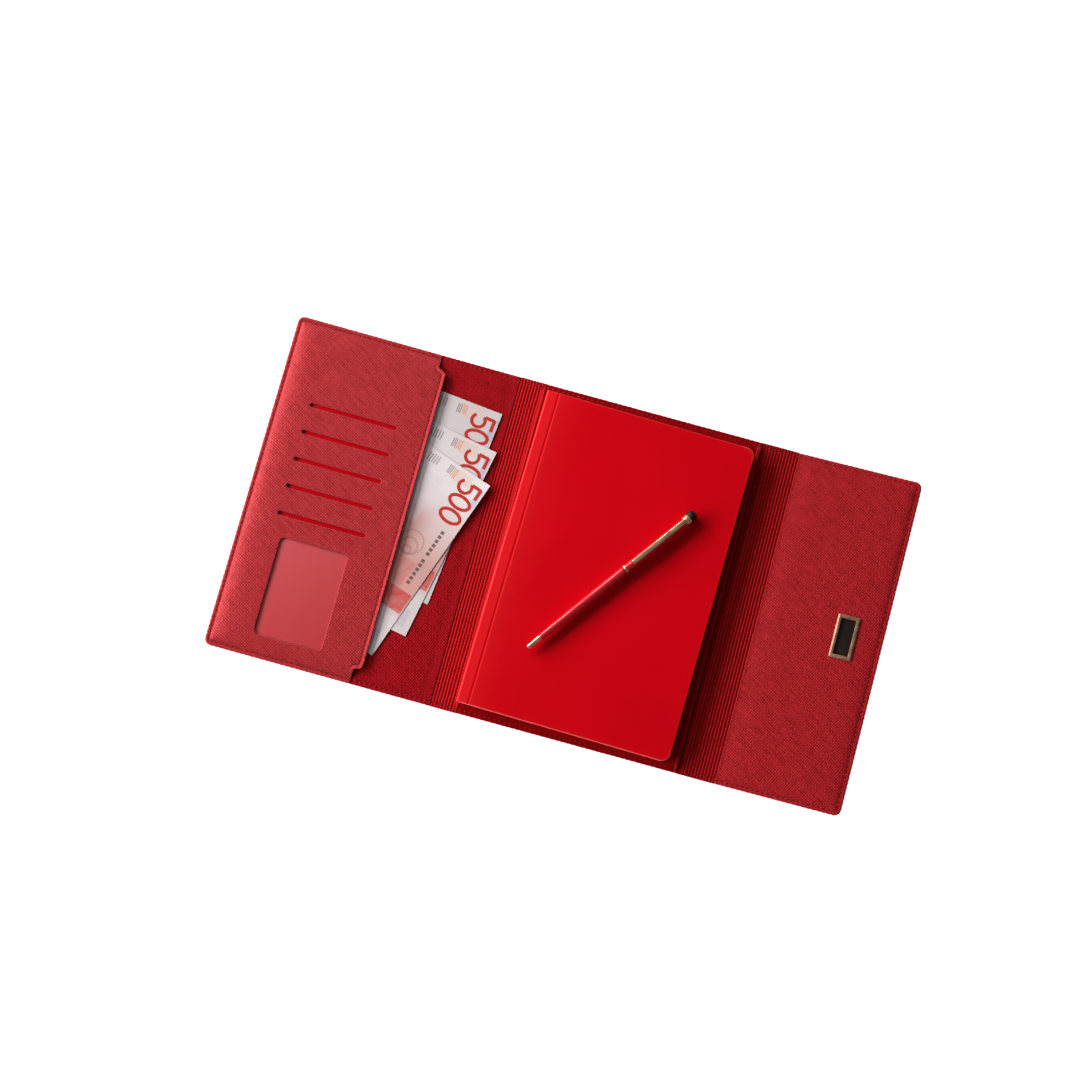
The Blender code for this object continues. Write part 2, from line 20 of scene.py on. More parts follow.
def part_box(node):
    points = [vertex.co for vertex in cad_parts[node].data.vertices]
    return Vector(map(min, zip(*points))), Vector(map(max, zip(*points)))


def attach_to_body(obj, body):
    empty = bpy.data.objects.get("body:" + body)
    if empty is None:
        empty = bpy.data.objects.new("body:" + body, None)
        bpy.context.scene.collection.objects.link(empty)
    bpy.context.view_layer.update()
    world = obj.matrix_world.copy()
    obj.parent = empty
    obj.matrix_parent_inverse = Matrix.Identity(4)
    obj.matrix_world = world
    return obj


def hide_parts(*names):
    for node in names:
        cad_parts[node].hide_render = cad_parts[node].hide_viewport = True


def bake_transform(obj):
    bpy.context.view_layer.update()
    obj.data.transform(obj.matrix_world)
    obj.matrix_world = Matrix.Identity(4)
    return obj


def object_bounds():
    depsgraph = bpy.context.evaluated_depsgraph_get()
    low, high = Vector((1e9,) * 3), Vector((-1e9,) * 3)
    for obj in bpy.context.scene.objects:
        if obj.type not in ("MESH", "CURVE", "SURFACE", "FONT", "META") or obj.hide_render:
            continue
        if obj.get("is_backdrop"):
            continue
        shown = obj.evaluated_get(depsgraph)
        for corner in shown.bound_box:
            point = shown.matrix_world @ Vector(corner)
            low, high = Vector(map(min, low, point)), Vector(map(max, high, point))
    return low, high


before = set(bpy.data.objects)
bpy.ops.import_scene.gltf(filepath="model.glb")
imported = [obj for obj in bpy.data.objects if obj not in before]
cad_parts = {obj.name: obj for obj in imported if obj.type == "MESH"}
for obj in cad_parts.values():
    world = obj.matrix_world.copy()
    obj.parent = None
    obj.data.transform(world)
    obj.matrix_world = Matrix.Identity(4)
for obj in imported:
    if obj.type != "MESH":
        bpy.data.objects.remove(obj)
CAD_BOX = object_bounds()

MM = 0.001
TAU = 2 * math.pi

# ------------------------------------------------------------------ driving dimensions, mm
HALF_Y = 111.0                    # half the wallet's size along Y
LEFT_X, RIGHT_X = -239.5, 179.0
CORNER_R = 4.5

# a crease's axis, where its bend starts and ends, and the bodies on its two sides
Crease = namedtuple("Crease", "axis start end left_body right_body")
LEFT_OUTER = Crease(-96.5, -98.7, -94.3, "left_panel", "left_spine")
LEFT_INNER = Crease(-76.2, -78.4, -74.0, "left_spine", "centre_panel")
RIGHT_INNER = Crease(73.8, 71.6, 76.0, "centre_panel", "right_spine")
RIGHT_OUTER = Crease(98.8, 97.0, 100.8, "right_spine", "flap")
CREASES = (LEFT_OUTER, LEFT_INNER, RIGHT_INNER, RIGHT_OUTER)
AXIS_Z = 1.0
LEFT_TILT, FLAP_TILT = math.radians(1.8), math.radians(6.0)

SEAM = 2.55                       # sewing line, in from the edge
STITCH_PITCH = 3.3
POCKET_EDGE, POCKET_LIP = -143.2, -137.9   # the pocket's side by the rim, and at its mouth
LIP_HALF_Y = 99.2
SLOT_X, SLOT_WIDTH = (-216.7, -158.6), 2.75
SLOT_YS = (55.6, 37.35, 19.1, 0.85, -17.4)
WINDOW, WINDOW_R = (-210.7, -166.3, -96.4, -32.0), 3.5   # x, x, y, y
CLASP_X, CLASP_Y = 154.4, 0.8
STRIKER_X = -197.2
BOOK_AT = dict(x=-3.1, y=-0.4, angle=math.radians(-0.95))
PEN_AT = dict(x=-39.88, y=-59.60, angle=math.radians(54.12), z=13.30)


def match_frame(node, x0, x1, slack=0.15):
    """Stops the script if an outer cover of the frame disagrees with the dimensions above."""
    lowest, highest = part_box(node)
    wanted = (x0, -HALF_Y, 0, x1, HALF_Y, 1.0)
    for got, want in zip((*lowest, *highest), wanted):
        if abs(got / MM - want) > slack:
            raise RuntimeError(f"{node}: {got / MM:.2f} in the frame, {want:.2f} in the looks")


match_frame("centre_outer_cover", LEFT_INNER.axis + 1.5, RIGHT_INNER.axis - 1.5)
match_frame("left_spine_cover", LEFT_OUTER.axis + 1.2, LEFT_INNER.axis - 1.2)
match_frame("right_spine_cover", RIGHT_INNER.axis + 1.2, RIGHT_OUTER.axis - 1.2)


# ------------------------------------------------------------------ curves and distances
def smooth01(value):
    value = np.clip(value, 0.0, 1.0)
    return value * value * (3 - 2 * value)


def curve(x, knots):
    """A cubic through the (x, value) knots that never overshoots them."""
    knot_x, knot_value = np.array(knots, float).T
    width = np.diff(knot_x)
    slope = np.diff(knot_value) / width
    product = slope[:-1] * slope[1:]
    total = slope[:-1] + slope[1:]
    total = np.where(np.abs(total) < 1e-12, 1.0, total)
    inner = np.where(product > 0, 2 * product / total, 0.0)
    tangent = np.concatenate([slope[:1], inner, slope[-1:]])
    x = np.clip(np.asarray(x, float), knot_x[0], knot_x[-1])
    i = np.clip(np.searchsorted(knot_x, x, side="right") - 1, 0, len(width) - 1)
    part = (x - knot_x[i]) / width[i]
    square, cube = part * part, part * part * part
    return (knot_value[i] * (2 * cube - 3 * square + 1)
            + tangent[i] * width[i] * (cube - 2 * square + part)
            + knot_value[i + 1] * (3 * square - 2 * cube)
            + tangent[i + 1] * width[i] * (cube - square))


def ripple(x, y, wave, seed, terms=6):
    """Smooth irregular waviness between about -1 and 1, the same on every run."""
    rng = np.random.default_rng(seed)
    total = np.zeros(np.broadcast(x, y).shape)
    for _ in range(terms):
        angle = rng.uniform(0, TAU)
        frequency = rng.uniform(0.6, 1.7) / wave
        phase = rng.uniform(0, TAU)
        along = x * math.cos(angle) + y * math.sin(angle)
        total = total + np.sin(TAU * frequency * along + phase)
    return total / math.sqrt(terms * 2.2)


def bell(x, width):
    return np.exp(-(x / width) ** 2)


def inset(x, y):
    """Distance from the wallet's outer edge, positive inside it."""
    beyond_x = np.abs(x - (LEFT_X + RIGHT_X) / 2) - (RIGHT_X - LEFT_X) / 2 + CORNER_R
    beyond_y = np.abs(y) - HALF_Y + CORNER_R
    outside = np.hypot(np.maximum(beyond_x, 0), np.maximum(beyond_y, 0))
    return -(outside + np.minimum(np.maximum(beyond_x, beyond_y), 0) - CORNER_R)


def distance_to(points, segments):
    nearest = np.full(len(points), 1e9)
    for start, end in segments:
        along = end - start
        square = along @ along
        if square < 1e-12:
            continue
        off = points - start
        share = np.clip(off @ along / square, 0, 1)
        gap = np.hypot(off[:, 0] - share * along[0], off[:, 1] - share * along[1])
        nearest = np.minimum(nearest, gap)
    return nearest


def sides(loop):
    return zip(loop, np.roll(loop, -1, axis=0))


def edge_distance(points, loops):
    return distance_to(points, [side for loop in loops for side in sides(loop)])


def inside(points, loops):
    odd = np.zeros(len(points), bool)
    x, y = points[:, 0], points[:, 1]
    for loop in loops:
        for start, end in sides(loop):
            cross = (start[1] > y) != (end[1] > y)
            if not cross.any():
                continue
            with np.errstate(divide="ignore", invalid="ignore"):
                cross_x = (end[0] - start[0]) * (y - start[1]) / (end[1] - start[1]) + start[0]
            odd ^= cross & (x < cross_x)
    return odd


def rounded(own, radius, drop):
    """How much an edge falls away beside a sheet's own rim."""
    share = np.clip(1 - own / radius, 0, 1)
    return drop * (1 - np.sqrt(1 - share * share))


# ------------------------------------------------------------------ places
def turn(points, axis_x, angle):
    """Turns points about the line along Y through (axis_x, AXIS_Z)."""
    cos, sin = np.cos(angle), np.sin(angle)
    x, z = points[:, 0] - axis_x, points[:, 2] - AXIS_Z
    return np.column_stack([axis_x + x * cos + z * sin, points[:, 1],
                            AXIS_Z - x * sin + z * cos])


def bent_share(x, crease):
    return smooth01((x - crease.start) / (crease.end - crease.start))


def lay(points):
    """Flat drawing to the rest pose, bending over the two outer creases."""
    left = LEFT_TILT * (1 - bent_share(points[:, 0], LEFT_OUTER))
    right = -FLAP_TILT * bent_share(points[:, 0], RIGHT_OUTER)
    return turn(turn(points, LEFT_OUTER.axis, left), RIGHT_OUTER.axis, right)


def on_left(points):
    return turn(points, LEFT_OUTER.axis, LEFT_TILT)


def on_clasp(points):
    return turn(points + np.array([CLASP_X, CLASP_Y, 0]), RIGHT_OUTER.axis, -FLAP_TILT)


def on_striker(points):
    return on_left(points + np.array([STRIKER_X, CLASP_Y, 0]))


def set_down(points, x, y, angle, z=0.0):
    points = np.asarray(points, float)
    cos, sin = math.cos(angle), math.sin(angle)
    return np.column_stack([x + points[:, 0] * cos - points[:, 1] * sin,
                            y + points[:, 0] * sin + points[:, 1] * cos, z + points[:, 2]])


def on_book(points):
    return set_down(points, **BOOK_AT)


def on_pen(points):
    return set_down(points, **PEN_AT)


# ------------------------------------------------------------------ objects
def add_attribute(mesh, name, kind, field, values):
    attribute = mesh.attributes.new(name, kind, "POINT")
    attribute.data.foreach_set(field, np.asarray(values, np.float32).ravel())


def make(name, verts, faces, mats, place=None, smooth=40, face_mats=None, shade=None, slot=None):
    """A mesh object from flat millimetres. The flat coordinates stay on it for its grain, and
    shade is below 0 where painted shade darkens it and above 0 where it is painted lighter, mostly
    as a painted highlight."""
    verts = np.asarray(verts, float)
    placed = place(verts) if place else verts
    mesh = bpy.data.meshes.new(name)
    mesh.from_pydata((placed * MM).tolist(), [], [tuple(int(i) for i in face) for face in faces])
    mesh.validate(verbose=False)
    if smooth is not None:
        mesh.shade_smooth()
        mesh.set_sharp_from_angle(angle=math.radians(smooth))
    for mat in mats if isinstance(mats, list) else [mats]:
        mesh.materials.append(mat)
    if face_mats is not None:
        mesh.polygons.foreach_set("material_index", np.asarray(face_mats, np.int32))
    add_attribute(mesh, "flat", "FLOAT_VECTOR", "vector", verts)
    add_attribute(mesh, "shade", "FLOAT", "value", np.zeros(len(verts)) if shade is None else shade)
    mesh.update()
    ob = bpy.data.objects.new(name, mesh)
    bpy.context.scene.collection.objects.link(ob)
    return ob


def make_solid(*args, **options):
    """A mesh object whose faces are turned to point outward."""
    ob = make(*args, **options)
    bm = bmesh.new()
    bm.from_mesh(ob.data)
    bmesh.ops.recalc_face_normals(bm, faces=bm.faces)
    if bm.calc_volume(signed=True) < 0:
        bmesh.ops.reverse_faces(bm, faces=bm.faces)
    bm.to_mesh(ob.data)
    bm.free()
    ob.data.update()
    return ob


def bend(ob, crease, *nodes):
    """Bakes an object's placement into its mesh, in place of the given CAD nodes, which it hides.
    crease is not used.
    """
    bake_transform(ob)
    if nodes:
        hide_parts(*nodes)


def attach(ob, body, *nodes):
    """Fixes an object to a body, in place of the given CAD nodes."""
    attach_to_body(ob, body)
    if nodes:
        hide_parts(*nodes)


def loft(rows, closed=False, capped=True):
    """Verts and faces through rows of points, each row a loop."""
    size, count = len(rows[0]), len(rows)
    pairs = [(row, row + 1) for row in range(count - 1)]
    if closed:
        pairs.append((count - 1, 0))
    faces = [(a * size + i, a * size + (i + 1) % size, b * size + (i + 1) % size, b * size + i)
             for a, b in pairs for i in range(size)]
    if capped:
        faces += [tuple(reversed(range(size))), tuple(range((count - 1) * size, count * size))]
    return np.vstack(rows), faces


def join(parts):
    """One list of verts and one of faces from several."""
    verts, faces = [], []
    for part_verts, part_faces in parts:
        base = len(verts)
        verts += list(part_verts)
        faces += [tuple(base + i for i in face) for face in part_faces]
    return np.array(verts, float), faces


def layer_faces(columns, rows):
    """The upper and lower faces of a slab whose grid of verts comes upper layer first."""
    count = columns * rows
    faces = []
    for row in range(rows - 1):
        for i in range(row * columns, row * columns + columns - 1):
            above = i + columns
            faces += [(i, i + 1, above + 1, above),
                      (i + count, above + count, above + 1 + count, i + 1 + count)]
    return faces


def slab_faces(columns, rows):
    """The faces of a slab, closed along its rim."""
    count = columns * rows
    rim = [*range(columns), *(row * columns + columns - 1 for row in range(1, rows)),
           *((rows - 1) * columns + i for i in range(columns - 2, -1, -1)),
           *(row * columns for row in range(rows - 2, 0, -1))]
    return layer_faces(columns, rows) + [(i, i + count, j + count, j)
                                         for i, j in zip(rim, rim[1:] + rim[:1])]


# ------------------------------------------------------------------ outlines and sheets
def arc(x, y, radius, start, end, steps=8):
    angles = [math.radians(start + (end - start) * i / steps) for i in range(steps + 1)]
    return [(x + radius * math.cos(angle), y + radius * math.sin(angle)) for angle in angles]


def rectangle(x0, x1, y0, y1, left_r=0.0, right_r=0.0):
    points = []
    for x, y, radius, start in ((x1, y0, right_r, -90), (x1, y1, right_r, 0),
                                (x0, y1, left_r, 90), (x0, y0, left_r, 180)):
        if radius > 0:
            points += arc(x + (-radius if x == x1 else radius),
                          y + (radius if y == y0 else -radius), radius, start, start + 90)
        else:
            points.append((x, y))
    return np.array(points)


def slot_loop(x0, x1, y, width):
    radius = width / 2
    return np.array(arc(x1 - radius, y, radius, -90, 90) + arc(x0 + radius, y, radius, 90, 270))


def anticlockwise(loop):
    loop = np.asarray(loop, float)
    x, y = loop[:, 0], loop[:, 1]
    return loop if np.sum(x * np.roll(y, -1) - np.roll(x, -1) * y) > 0 else loop[::-1]


def resample(loop, step):
    points = []
    for start, end in sides(loop):
        count = max(1, int(math.ceil(np.linalg.norm(end - start) / step - 1e-6)))
        points += [start + (end - start) * k / count for k in range(count)]
    return np.array(points)


def triangulate(outer, holes, *, rings, step, grid, hole_rings=(), hole_step=None,
                wallet_rim=False, extra=None):
    """Points along the loops, on rings beside them and on a grid between, joined in triangles.
    A ring is (distance from the loop, keep one point in so many). With wallet_rim, rings follow
    only the part of the outline that is the wallet's edge. Returns the points, the triangles,
    the boundary loops as indices, and the loops as drawn."""
    outer = anticlockwise(outer)
    holes = [anticlockwise(hole) for hole in holes]
    loops = [outer, *holes]
    fine = [resample(outer, step)] + [resample(hole, hole_step) for hole in holes]
    inner = []
    for number, loop in enumerate(fine):
        tangent = np.roll(loop, -1, axis=0) - np.roll(loop, 1, axis=0)
        tangent /= np.linalg.norm(tangent, axis=1)[:, None]
        inward = np.column_stack([-tangent[:, 1], tangent[:, 0]]) * (1 if number == 0 else -1)
        for distance, stride in (rings if number == 0 else hole_rings):
            ring = (loop + inward * distance)[::stride]
            keep = inside(ring, loops) & (edge_distance(ring, loops) > 0.93 * distance)
            if wallet_rim and number == 0:
                keep &= np.abs(inset(ring[:, 0], ring[:, 1]) - distance) < 0.12
            inner.append(ring[keep])

    lowest, highest = outer.min(0), outer.max(0)
    rows = []
    for j, y in enumerate(np.arange(lowest[1] + grid * 0.4, highest[1], grid * math.sqrt(3) / 2)):
        xs = np.arange(lowest[0] + (grid * 0.25 if j % 2 else grid * 0.75), highest[0], grid)
        rows.append(np.column_stack([xs, np.full(len(xs), y)]))
    mesh_grid = np.concatenate(rows)
    clear = max(distance for distance, _ in rings) + 0.45 * grid
    from_outer = edge_distance(mesh_grid, [outer])
    keep = inside(mesh_grid, loops) & (from_outer > (0.45 * grid if wallet_rim else clear))
    if wallet_rim:
        keep &= inset(mesh_grid[:, 0], mesh_grid[:, 1]) > clear
    if holes:
        hole_clear = max(distance for distance, _ in hole_rings) + 0.4 * grid
        keep &= edge_distance(mesh_grid, holes) > hole_clear
    inner.append(mesh_grid[keep])
    if extra is not None:
        extra = np.asarray(extra, float)
        inner.append(extra[inside(extra, loops) & (edge_distance(extra, loops) > 0.12)])
    inner = np.concatenate(inner)
    # thin out points that crowd each other
    cell = np.round(inner / 0.16).astype(np.int64)
    _, first = np.unique(cell, axis=0, return_index=True)
    inner = inner[np.sort(first)]

    edges, index_loops, base = [], [], 0
    for loop in fine:
        count = len(loop)
        edges += [(base + i, base + (i + 1) % count) for i in range(count)]
        index_loops.append(range(base, base + count))
        base += count
    points = np.concatenate([*fine, inner])
    verts, _, tris, origin, _, _ = delaunay_2d_cdt(
        [Vector(point) for point in points.tolist()], edges, [], 1, 1e-6)
    verts = np.array([(vert.x, vert.y) for vert in verts])
    new_index = {old: new for new, olds in enumerate(origin) for old in olds}
    tris = np.array([tri for tri in tris if len(tri) == 3])
    tris = tris[inside(verts[tris].mean(axis=1), fine)]
    one, two, three = (verts[tris[:, k]] for k in range(3))
    area = ((two[:, 0] - one[:, 0]) * (three[:, 1] - one[:, 1])
            - (two[:, 1] - one[:, 1]) * (three[:, 0] - one[:, 0]))
    solid = np.abs(area) > 1e-9
    tris, area = tris[solid], area[solid]
    tris[area < 0] = tris[area < 0][:, ::-1]
    used = np.unique(tris)
    remap = -np.ones(len(verts), int)
    remap[used] = np.arange(len(used))
    return (verts[used], remap[tris],
            [[remap[new_index[i]] for i in loop] for loop in index_loops], loops)


def scalloped(points):
    """The sewing draws the wallet's edge in a little at each stitch."""
    x, y = points[:, 0], points[:, 1]
    depth = inset(x, y)
    along_x = np.abs(y) > HALF_Y - 2.2
    rim = (depth < 1.4) & (along_x | (x < LEFT_X + 2.2) | (x > RIGHT_X - 2.2))
    amount = np.where(rim, 0.11 * (1 - np.clip(depth, 0, 1.4) / 1.4), 0.0)
    wave = np.cos(TAU * np.where(along_x, x, y) / STITCH_PITCH) - 0.6
    return np.column_stack([x + np.where(~along_x, np.sign(x) * amount * wave, 0),
                            y + np.where(along_x, np.sign(y) * amount * wave, 0)])


def sheet(name, outer, mat, top, bottom, holes=(), place=None, shade=None, shade_all=False,
          core=None, side_rows=1, scallop=True, slot=None, **mesh_options):
    """A closed sheet. top, bottom and shade are functions of x, y and the distance to the
    sheet's own edges; shade marks the upper side, or every side with shade_all. core is the
    material of punched edges."""
    points, tris, rims, loops = triangulate(outer, holes, **mesh_options)
    own = edge_distance(points, loops)
    own[np.concatenate(rims)] = 0.0
    x, y = points[:, 0], points[:, 1]
    drawn = scalloped(points) if scallop else points
    count = len(points)
    upper_verts = np.column_stack([drawn, top(x, y, own)])
    lower_verts = np.column_stack([drawn, bottom(x, y, own)])
    verts = [upper_verts, lower_verts]
    faces = [tuple(t) for t in tris] + [(t[2] + count, t[1] + count, t[0] + count) for t in tris]
    face_mats = [0] * len(faces)
    total = 2 * count
    for number, rim in enumerate(rims):
        rows = [np.array(rim)]
        for row in range(1, side_rows):
            share = row / side_rows
            verts.append(upper_verts[rim] * (1 - share) + lower_verts[rim] * share)
            rows.append(np.arange(total, total + len(rim)))
            total += len(rim)
        rows.append(np.array(rim) + count)
        for upper_row, lower_row in zip(rows, rows[1:]):
            for i in range(len(rim)):
                j = (i + 1) % len(rim)
                quad = (upper_row[i], lower_row[i], lower_row[j], upper_row[j])
                faces.append(quad if number == 0 else quad[::-1])
                face_mats.append(int(number > 0))
    if core:  # the bevelled upper rim of a punched hole shows the core too
        near = edge_distance(points, loops[1:]) < 0.25
        for number, tri in enumerate(tris):
            if near[tri].all():
                face_mats[number] = 1
    verts = np.concatenate(verts)
    shades = np.zeros(len(verts))
    if shade_all:
        flat = verts.astype(np.float32)
        shades = shade(flat[:, 0], flat[:, 1], None)
    elif shade is not None:
        shades[:count] = shade(x, y, own)
    return make(name, verts, faces, [mat, core] if core else mat, place,
                face_mats=face_mats if core else None, shade=shades, slot=slot)


# ------------------------------------------------------------------ materials
def rgb(*levels):
    """A linear colour from sRGB levels of 0 to 255."""
    return tuple((c / 255 / 12.92) if c <= 10 else ((c / 255 + 0.055) / 1.055) ** 2.4
                 for c in levels) + (1.0,)


def scaled(colour, factor, lift=0.0):
    return tuple(min(1, c * factor + lift) for c in colour[:3]) + (1,)


class Value:
    """A shader output; arithmetic on it adds math nodes."""

    def __init__(self, shader, socket):
        self.shader, self.socket = shader, socket

    def __add__(self, other):
        return self.shader.math("ADD", self, other)

    def __sub__(self, other):
        return self.shader.math("SUBTRACT", self, other)

    def __rsub__(self, other):
        return self.shader.math("SUBTRACT", other, self)

    def __mul__(self, other):
        return self.shader.math("MULTIPLY", self, other)

    def __abs__(self):
        return self.shader.math("ABSOLUTE", self)

    def at_least(self, other):
        return self.shader.math("MAXIMUM", self, other)

    def sine(self):
        return self.shader.math("SINE", self)

    def clamped(self):
        """Clamps the math node this value comes from to 0..1."""
        self.socket.node.use_clamp = True
        return self


class Shader:
    """A short way to write a material's nodes."""

    def __init__(self, name):
        self.material = bpy.data.materials.new(name)
        self.material.use_nodes = True
        self.tree = self.material.node_tree
        self.tree.nodes.clear()
        self.output = self.tree.nodes.new("ShaderNodeOutputMaterial")

    def node(self, kind, inputs=(), **props):
        """A node with its props set, and its inputs from (input, value) pairs."""
        node = self.tree.nodes.new("ShaderNode" + kind)
        for key, value in props.items():
            setattr(node, key, value)
        for key, value in inputs:
            if isinstance(value, Value):
                self.tree.links.new(value.socket, node.inputs[key])
            elif value is not None:
                node.inputs[key].default_value = value
        return node

    def value(self, kind, inputs=(), output=0, **props):
        return Value(self, self.node(kind, inputs, **props).outputs[output])

    def math(self, operation, first, second=None):
        return self.value("Math", [(0, first), (1, second)], operation=operation)

    def mix(self, factor, low, high):
        return self.value("Mix", [(0, factor), (6, low), (7, high)], 2,
                          data_type="RGBA", blend_type="MIX")

    def flat(self):
        return self.value("Attribute", output="Vector", attribute_name="flat")

    def shade(self):
        return self.value("Attribute", output="Fac", attribute_name="shade")

    def object_coords(self):
        return self.value("TexCoord", output="Object")

    def dot(self, vector, other):
        return self.value("VectorMath", [(0, vector), (1, other)], "Value",
                          operation="DOT_PRODUCT")

    def stretch(self, vector, factors):
        return self.value("VectorMath", [(0, vector), (1, factors)], operation="MULTIPLY")

    def noise(self, vector, scale=1.0, detail=2.0, rough=0.5):
        return self.value("TexNoise", [("Vector", vector), ("Scale", scale), ("Detail", detail),
                                       ("Roughness", rough)])

    def ramp(self, factor, *stops):
        """Grey levels from (position, level) stops."""
        node = self.node("ValToRGB", [(0, factor)])
        elements = node.color_ramp.elements
        while len(elements) < len(stops):
            elements.new(0.5)
        for element, (position, level) in zip(elements, stops):
            element.position = position
            element.color = (level, level, level, 1)
        return Value(self, node.outputs[0])

    def bump(self, height, depth, strength=1.0):
        return self.value("Bump", [("Strength", strength), ("Distance", depth),
                                   ("Height", height)])

    def principled(self, colour, rough, normal, specular=None, **more):
        return self.node("BsdfPrincipled", [
            ("Base Color", colour), ("Roughness", rough), ("Normal", normal),
            ("Specular IOR Level", specular),
            *((key.replace("_", " "), value) for key, value in more.items())])

    def finish(self, node):
        self.tree.links.new(node.outputs[0], self.output.inputs[0])
        return self.material

    def surface(self, *args, **options):
        return self.finish(self.principled(*args, **options))


def saffiano(name, colour, light, dark, specular=0.12, contrast=1.0):
    """Cross-hatched leather: two sets of fine pressed lines, stronger and weaker in patches,
    over a natural grain. Painted shade darkens it in sewn grooves, and its edges are lighter,
    partly a painted highlight and partly patchy rubbed wear."""
    colour, light, dark = rgb(*colour), rgb(*light), rgb(*dark)
    line_pitch = 1.34
    line_angles = (math.radians(60.0), math.radians(-28.0))
    mat = Shader(name)
    flat, shade = mat.flat(), mat.shade()
    warp = (mat.noise(flat, scale=0.10) - 0.5) * 1.1
    jitter = (mat.noise(flat, scale=0.8) - 0.5) * 0.42
    lines = []
    for angle, sign in zip(line_angles, (-1.0, 1.0)):
        across = (math.cos(angle) / line_pitch, math.sin(angle) / line_pitch, 0)
        along = mat.dot(flat, across)
        lines.append(((along + (warp * sign + jitter)) * TAU).sine())
    patch = mat.ramp(mat.noise(flat, scale=0.19, detail=3.0, rough=0.6), (0.34, 0.36), (0.66, 0.78))
    rest = 1.0 - patch
    weave = lines[0] * patch + lines[1] * rest
    dots = lines[0] * lines[1]
    grain = mat.noise(flat, scale=2.6, detail=3.0, rough=0.6) - 0.5
    # the pressed lines run on for a few millimetres before they fade
    streaks = []
    for angle, strength in zip(line_angles, (patch * 1.5, rest)):
        cos, sin = math.cos(angle), math.sin(angle)
        drawn = mat.value("CombineXYZ", [(0, mat.dot(flat, (cos * 0.95, sin * 0.95, 0))),
                                         (1, mat.dot(flat, (-sin * 0.085, cos * 0.085, 0)))])
        streaks.append((mat.noise(drawn, rough=0.55) - 0.5) * strength)
    streak = streaks[0] + streaks[1]
    height = (weave * 0.95 + dots * 0.65) + (grain * 0.9 + streak * 2.5)
    tone = (height * (0.40 * contrast) + 0.5).clamped()
    body = mat.mix(tone, dark, light)
    body = mat.mix(abs(mat.noise(flat, scale=0.045) - 0.5) * 0.6, body, colour)
    # painted shade: darker in the sewing groove, where the shade attribute is below 0
    groove = (shade * -1.0).at_least(0.0)
    # lighter edges where the shade attribute is above 0: partly a painted highlight, partly patchy
    # rubbed wear
    patchy = mat.ramp(mat.noise(flat, scale=0.9, detail=3.0), (0.35, 0.35), (0.7, 1.0))
    worn = shade.at_least(0.0) * patchy
    body = mat.mix(groove, body, scaled(dark, 0.16))
    body = mat.mix(worn * 0.55, body, scaled(light, 1.55, lift=0.01))
    return mat.surface(body, rough=tone * -0.14 + 0.57, normal=mat.bump(height, depth=0.00008),
                       specular=specular)


def cut_core():
    """The pale fibrous core that shows on a punched edge."""
    mat = Shader("cut_leather_core")
    fibre = mat.noise(mat.stretch(mat.flat(), (1.0, 1.0, 6.0)), scale=3.5, detail=3.0)
    return mat.surface(mat.mix(fibre, rgb(132, 14, 22), rgb(188, 84, 84)), rough=0.8,
                       normal=mat.bump(fibre, depth=0.00005, strength=0.6), specular=0.2)


def ribbed(name, light, low):
    """Ribbed gusset: a fine crosswise weave on each rib, with painted shade darkening it between
    the ribs.
    """
    mat = Shader(name)
    flat, shade = mat.flat(), mat.shade()
    weave_direction = (0.55, 1 / 0.62, 0)
    cross = ((mat.dot(flat, weave_direction) + mat.noise(flat, scale=0.9)) * TAU).sine()
    height = cross * 0.30 + mat.noise(flat, scale=2.8, detail=3.0, rough=0.65)
    top = mat.mix(((height - 0.5) * 0.5 + 0.45).clamped(), low, light)
    # painted shade towards a dark red where the shade attribute is below 0: between the ribs and in
    # the sewing groove
    return mat.surface(mat.mix((shade * -1.0).clamped(), top, rgb(74, 0, 4)), rough=0.56,
                       normal=mat.bump(height, depth=0.00009, strength=0.9), specular=0.07)


def thread():
    mat = Shader("sewing_thread")
    flat = mat.flat()
    twist = (mat.dot(flat, (3.3, 3.9, 5.0)) * TAU).sine()
    height = twist * 0.5 + mat.noise(flat, scale=7.0)
    colour = mat.mix((height * 0.7).clamped(), rgb(160, 16, 24), rgb(216, 40, 44))
    return mat.surface(colour, rough=0.5, normal=mat.bump(height, depth=0.00006, strength=0.8),
                       specular=0.2)


# painted shade: flat dark discs stand for the shaded insides of the needle holes
def needle_hole_shade():
    mat = Shader("needle_hole_shade")
    grain = mat.noise(mat.flat(), scale=5.0)
    return mat.surface(mat.mix(grain, rgb(94, 0, 8), rgb(124, 4, 14)), rough=0.9,
                       normal=mat.bump(grain, depth=0.00004), specular=0.05)


def lining_cloth():
    """Closely woven satin lining, with painted shadow where its shade attribute is below 0."""
    mat = Shader("slot_lining_cloth")
    flat = mat.flat()
    warp = mat.dot(flat, (TAU / 0.42, TAU / 1.7, 0)).sine()
    weft = mat.dot(flat, (TAU / 1.9, TAU / 0.40, 0)).sine()
    height = warp.at_least(weft) * 0.5 + mat.noise(flat, scale=1.6)
    colour = mat.mix((height * 0.5).clamped(), rgb(170, 0, 12), rgb(206, 1, 22))
    colour = mat.mix((mat.shade() * -1.0).clamped(), colour, rgb(26, 0, 2))
    return mat.surface(colour, rough=0.6, normal=mat.bump(height, depth=0.00004, strength=0.7),
                       specular=0.04)


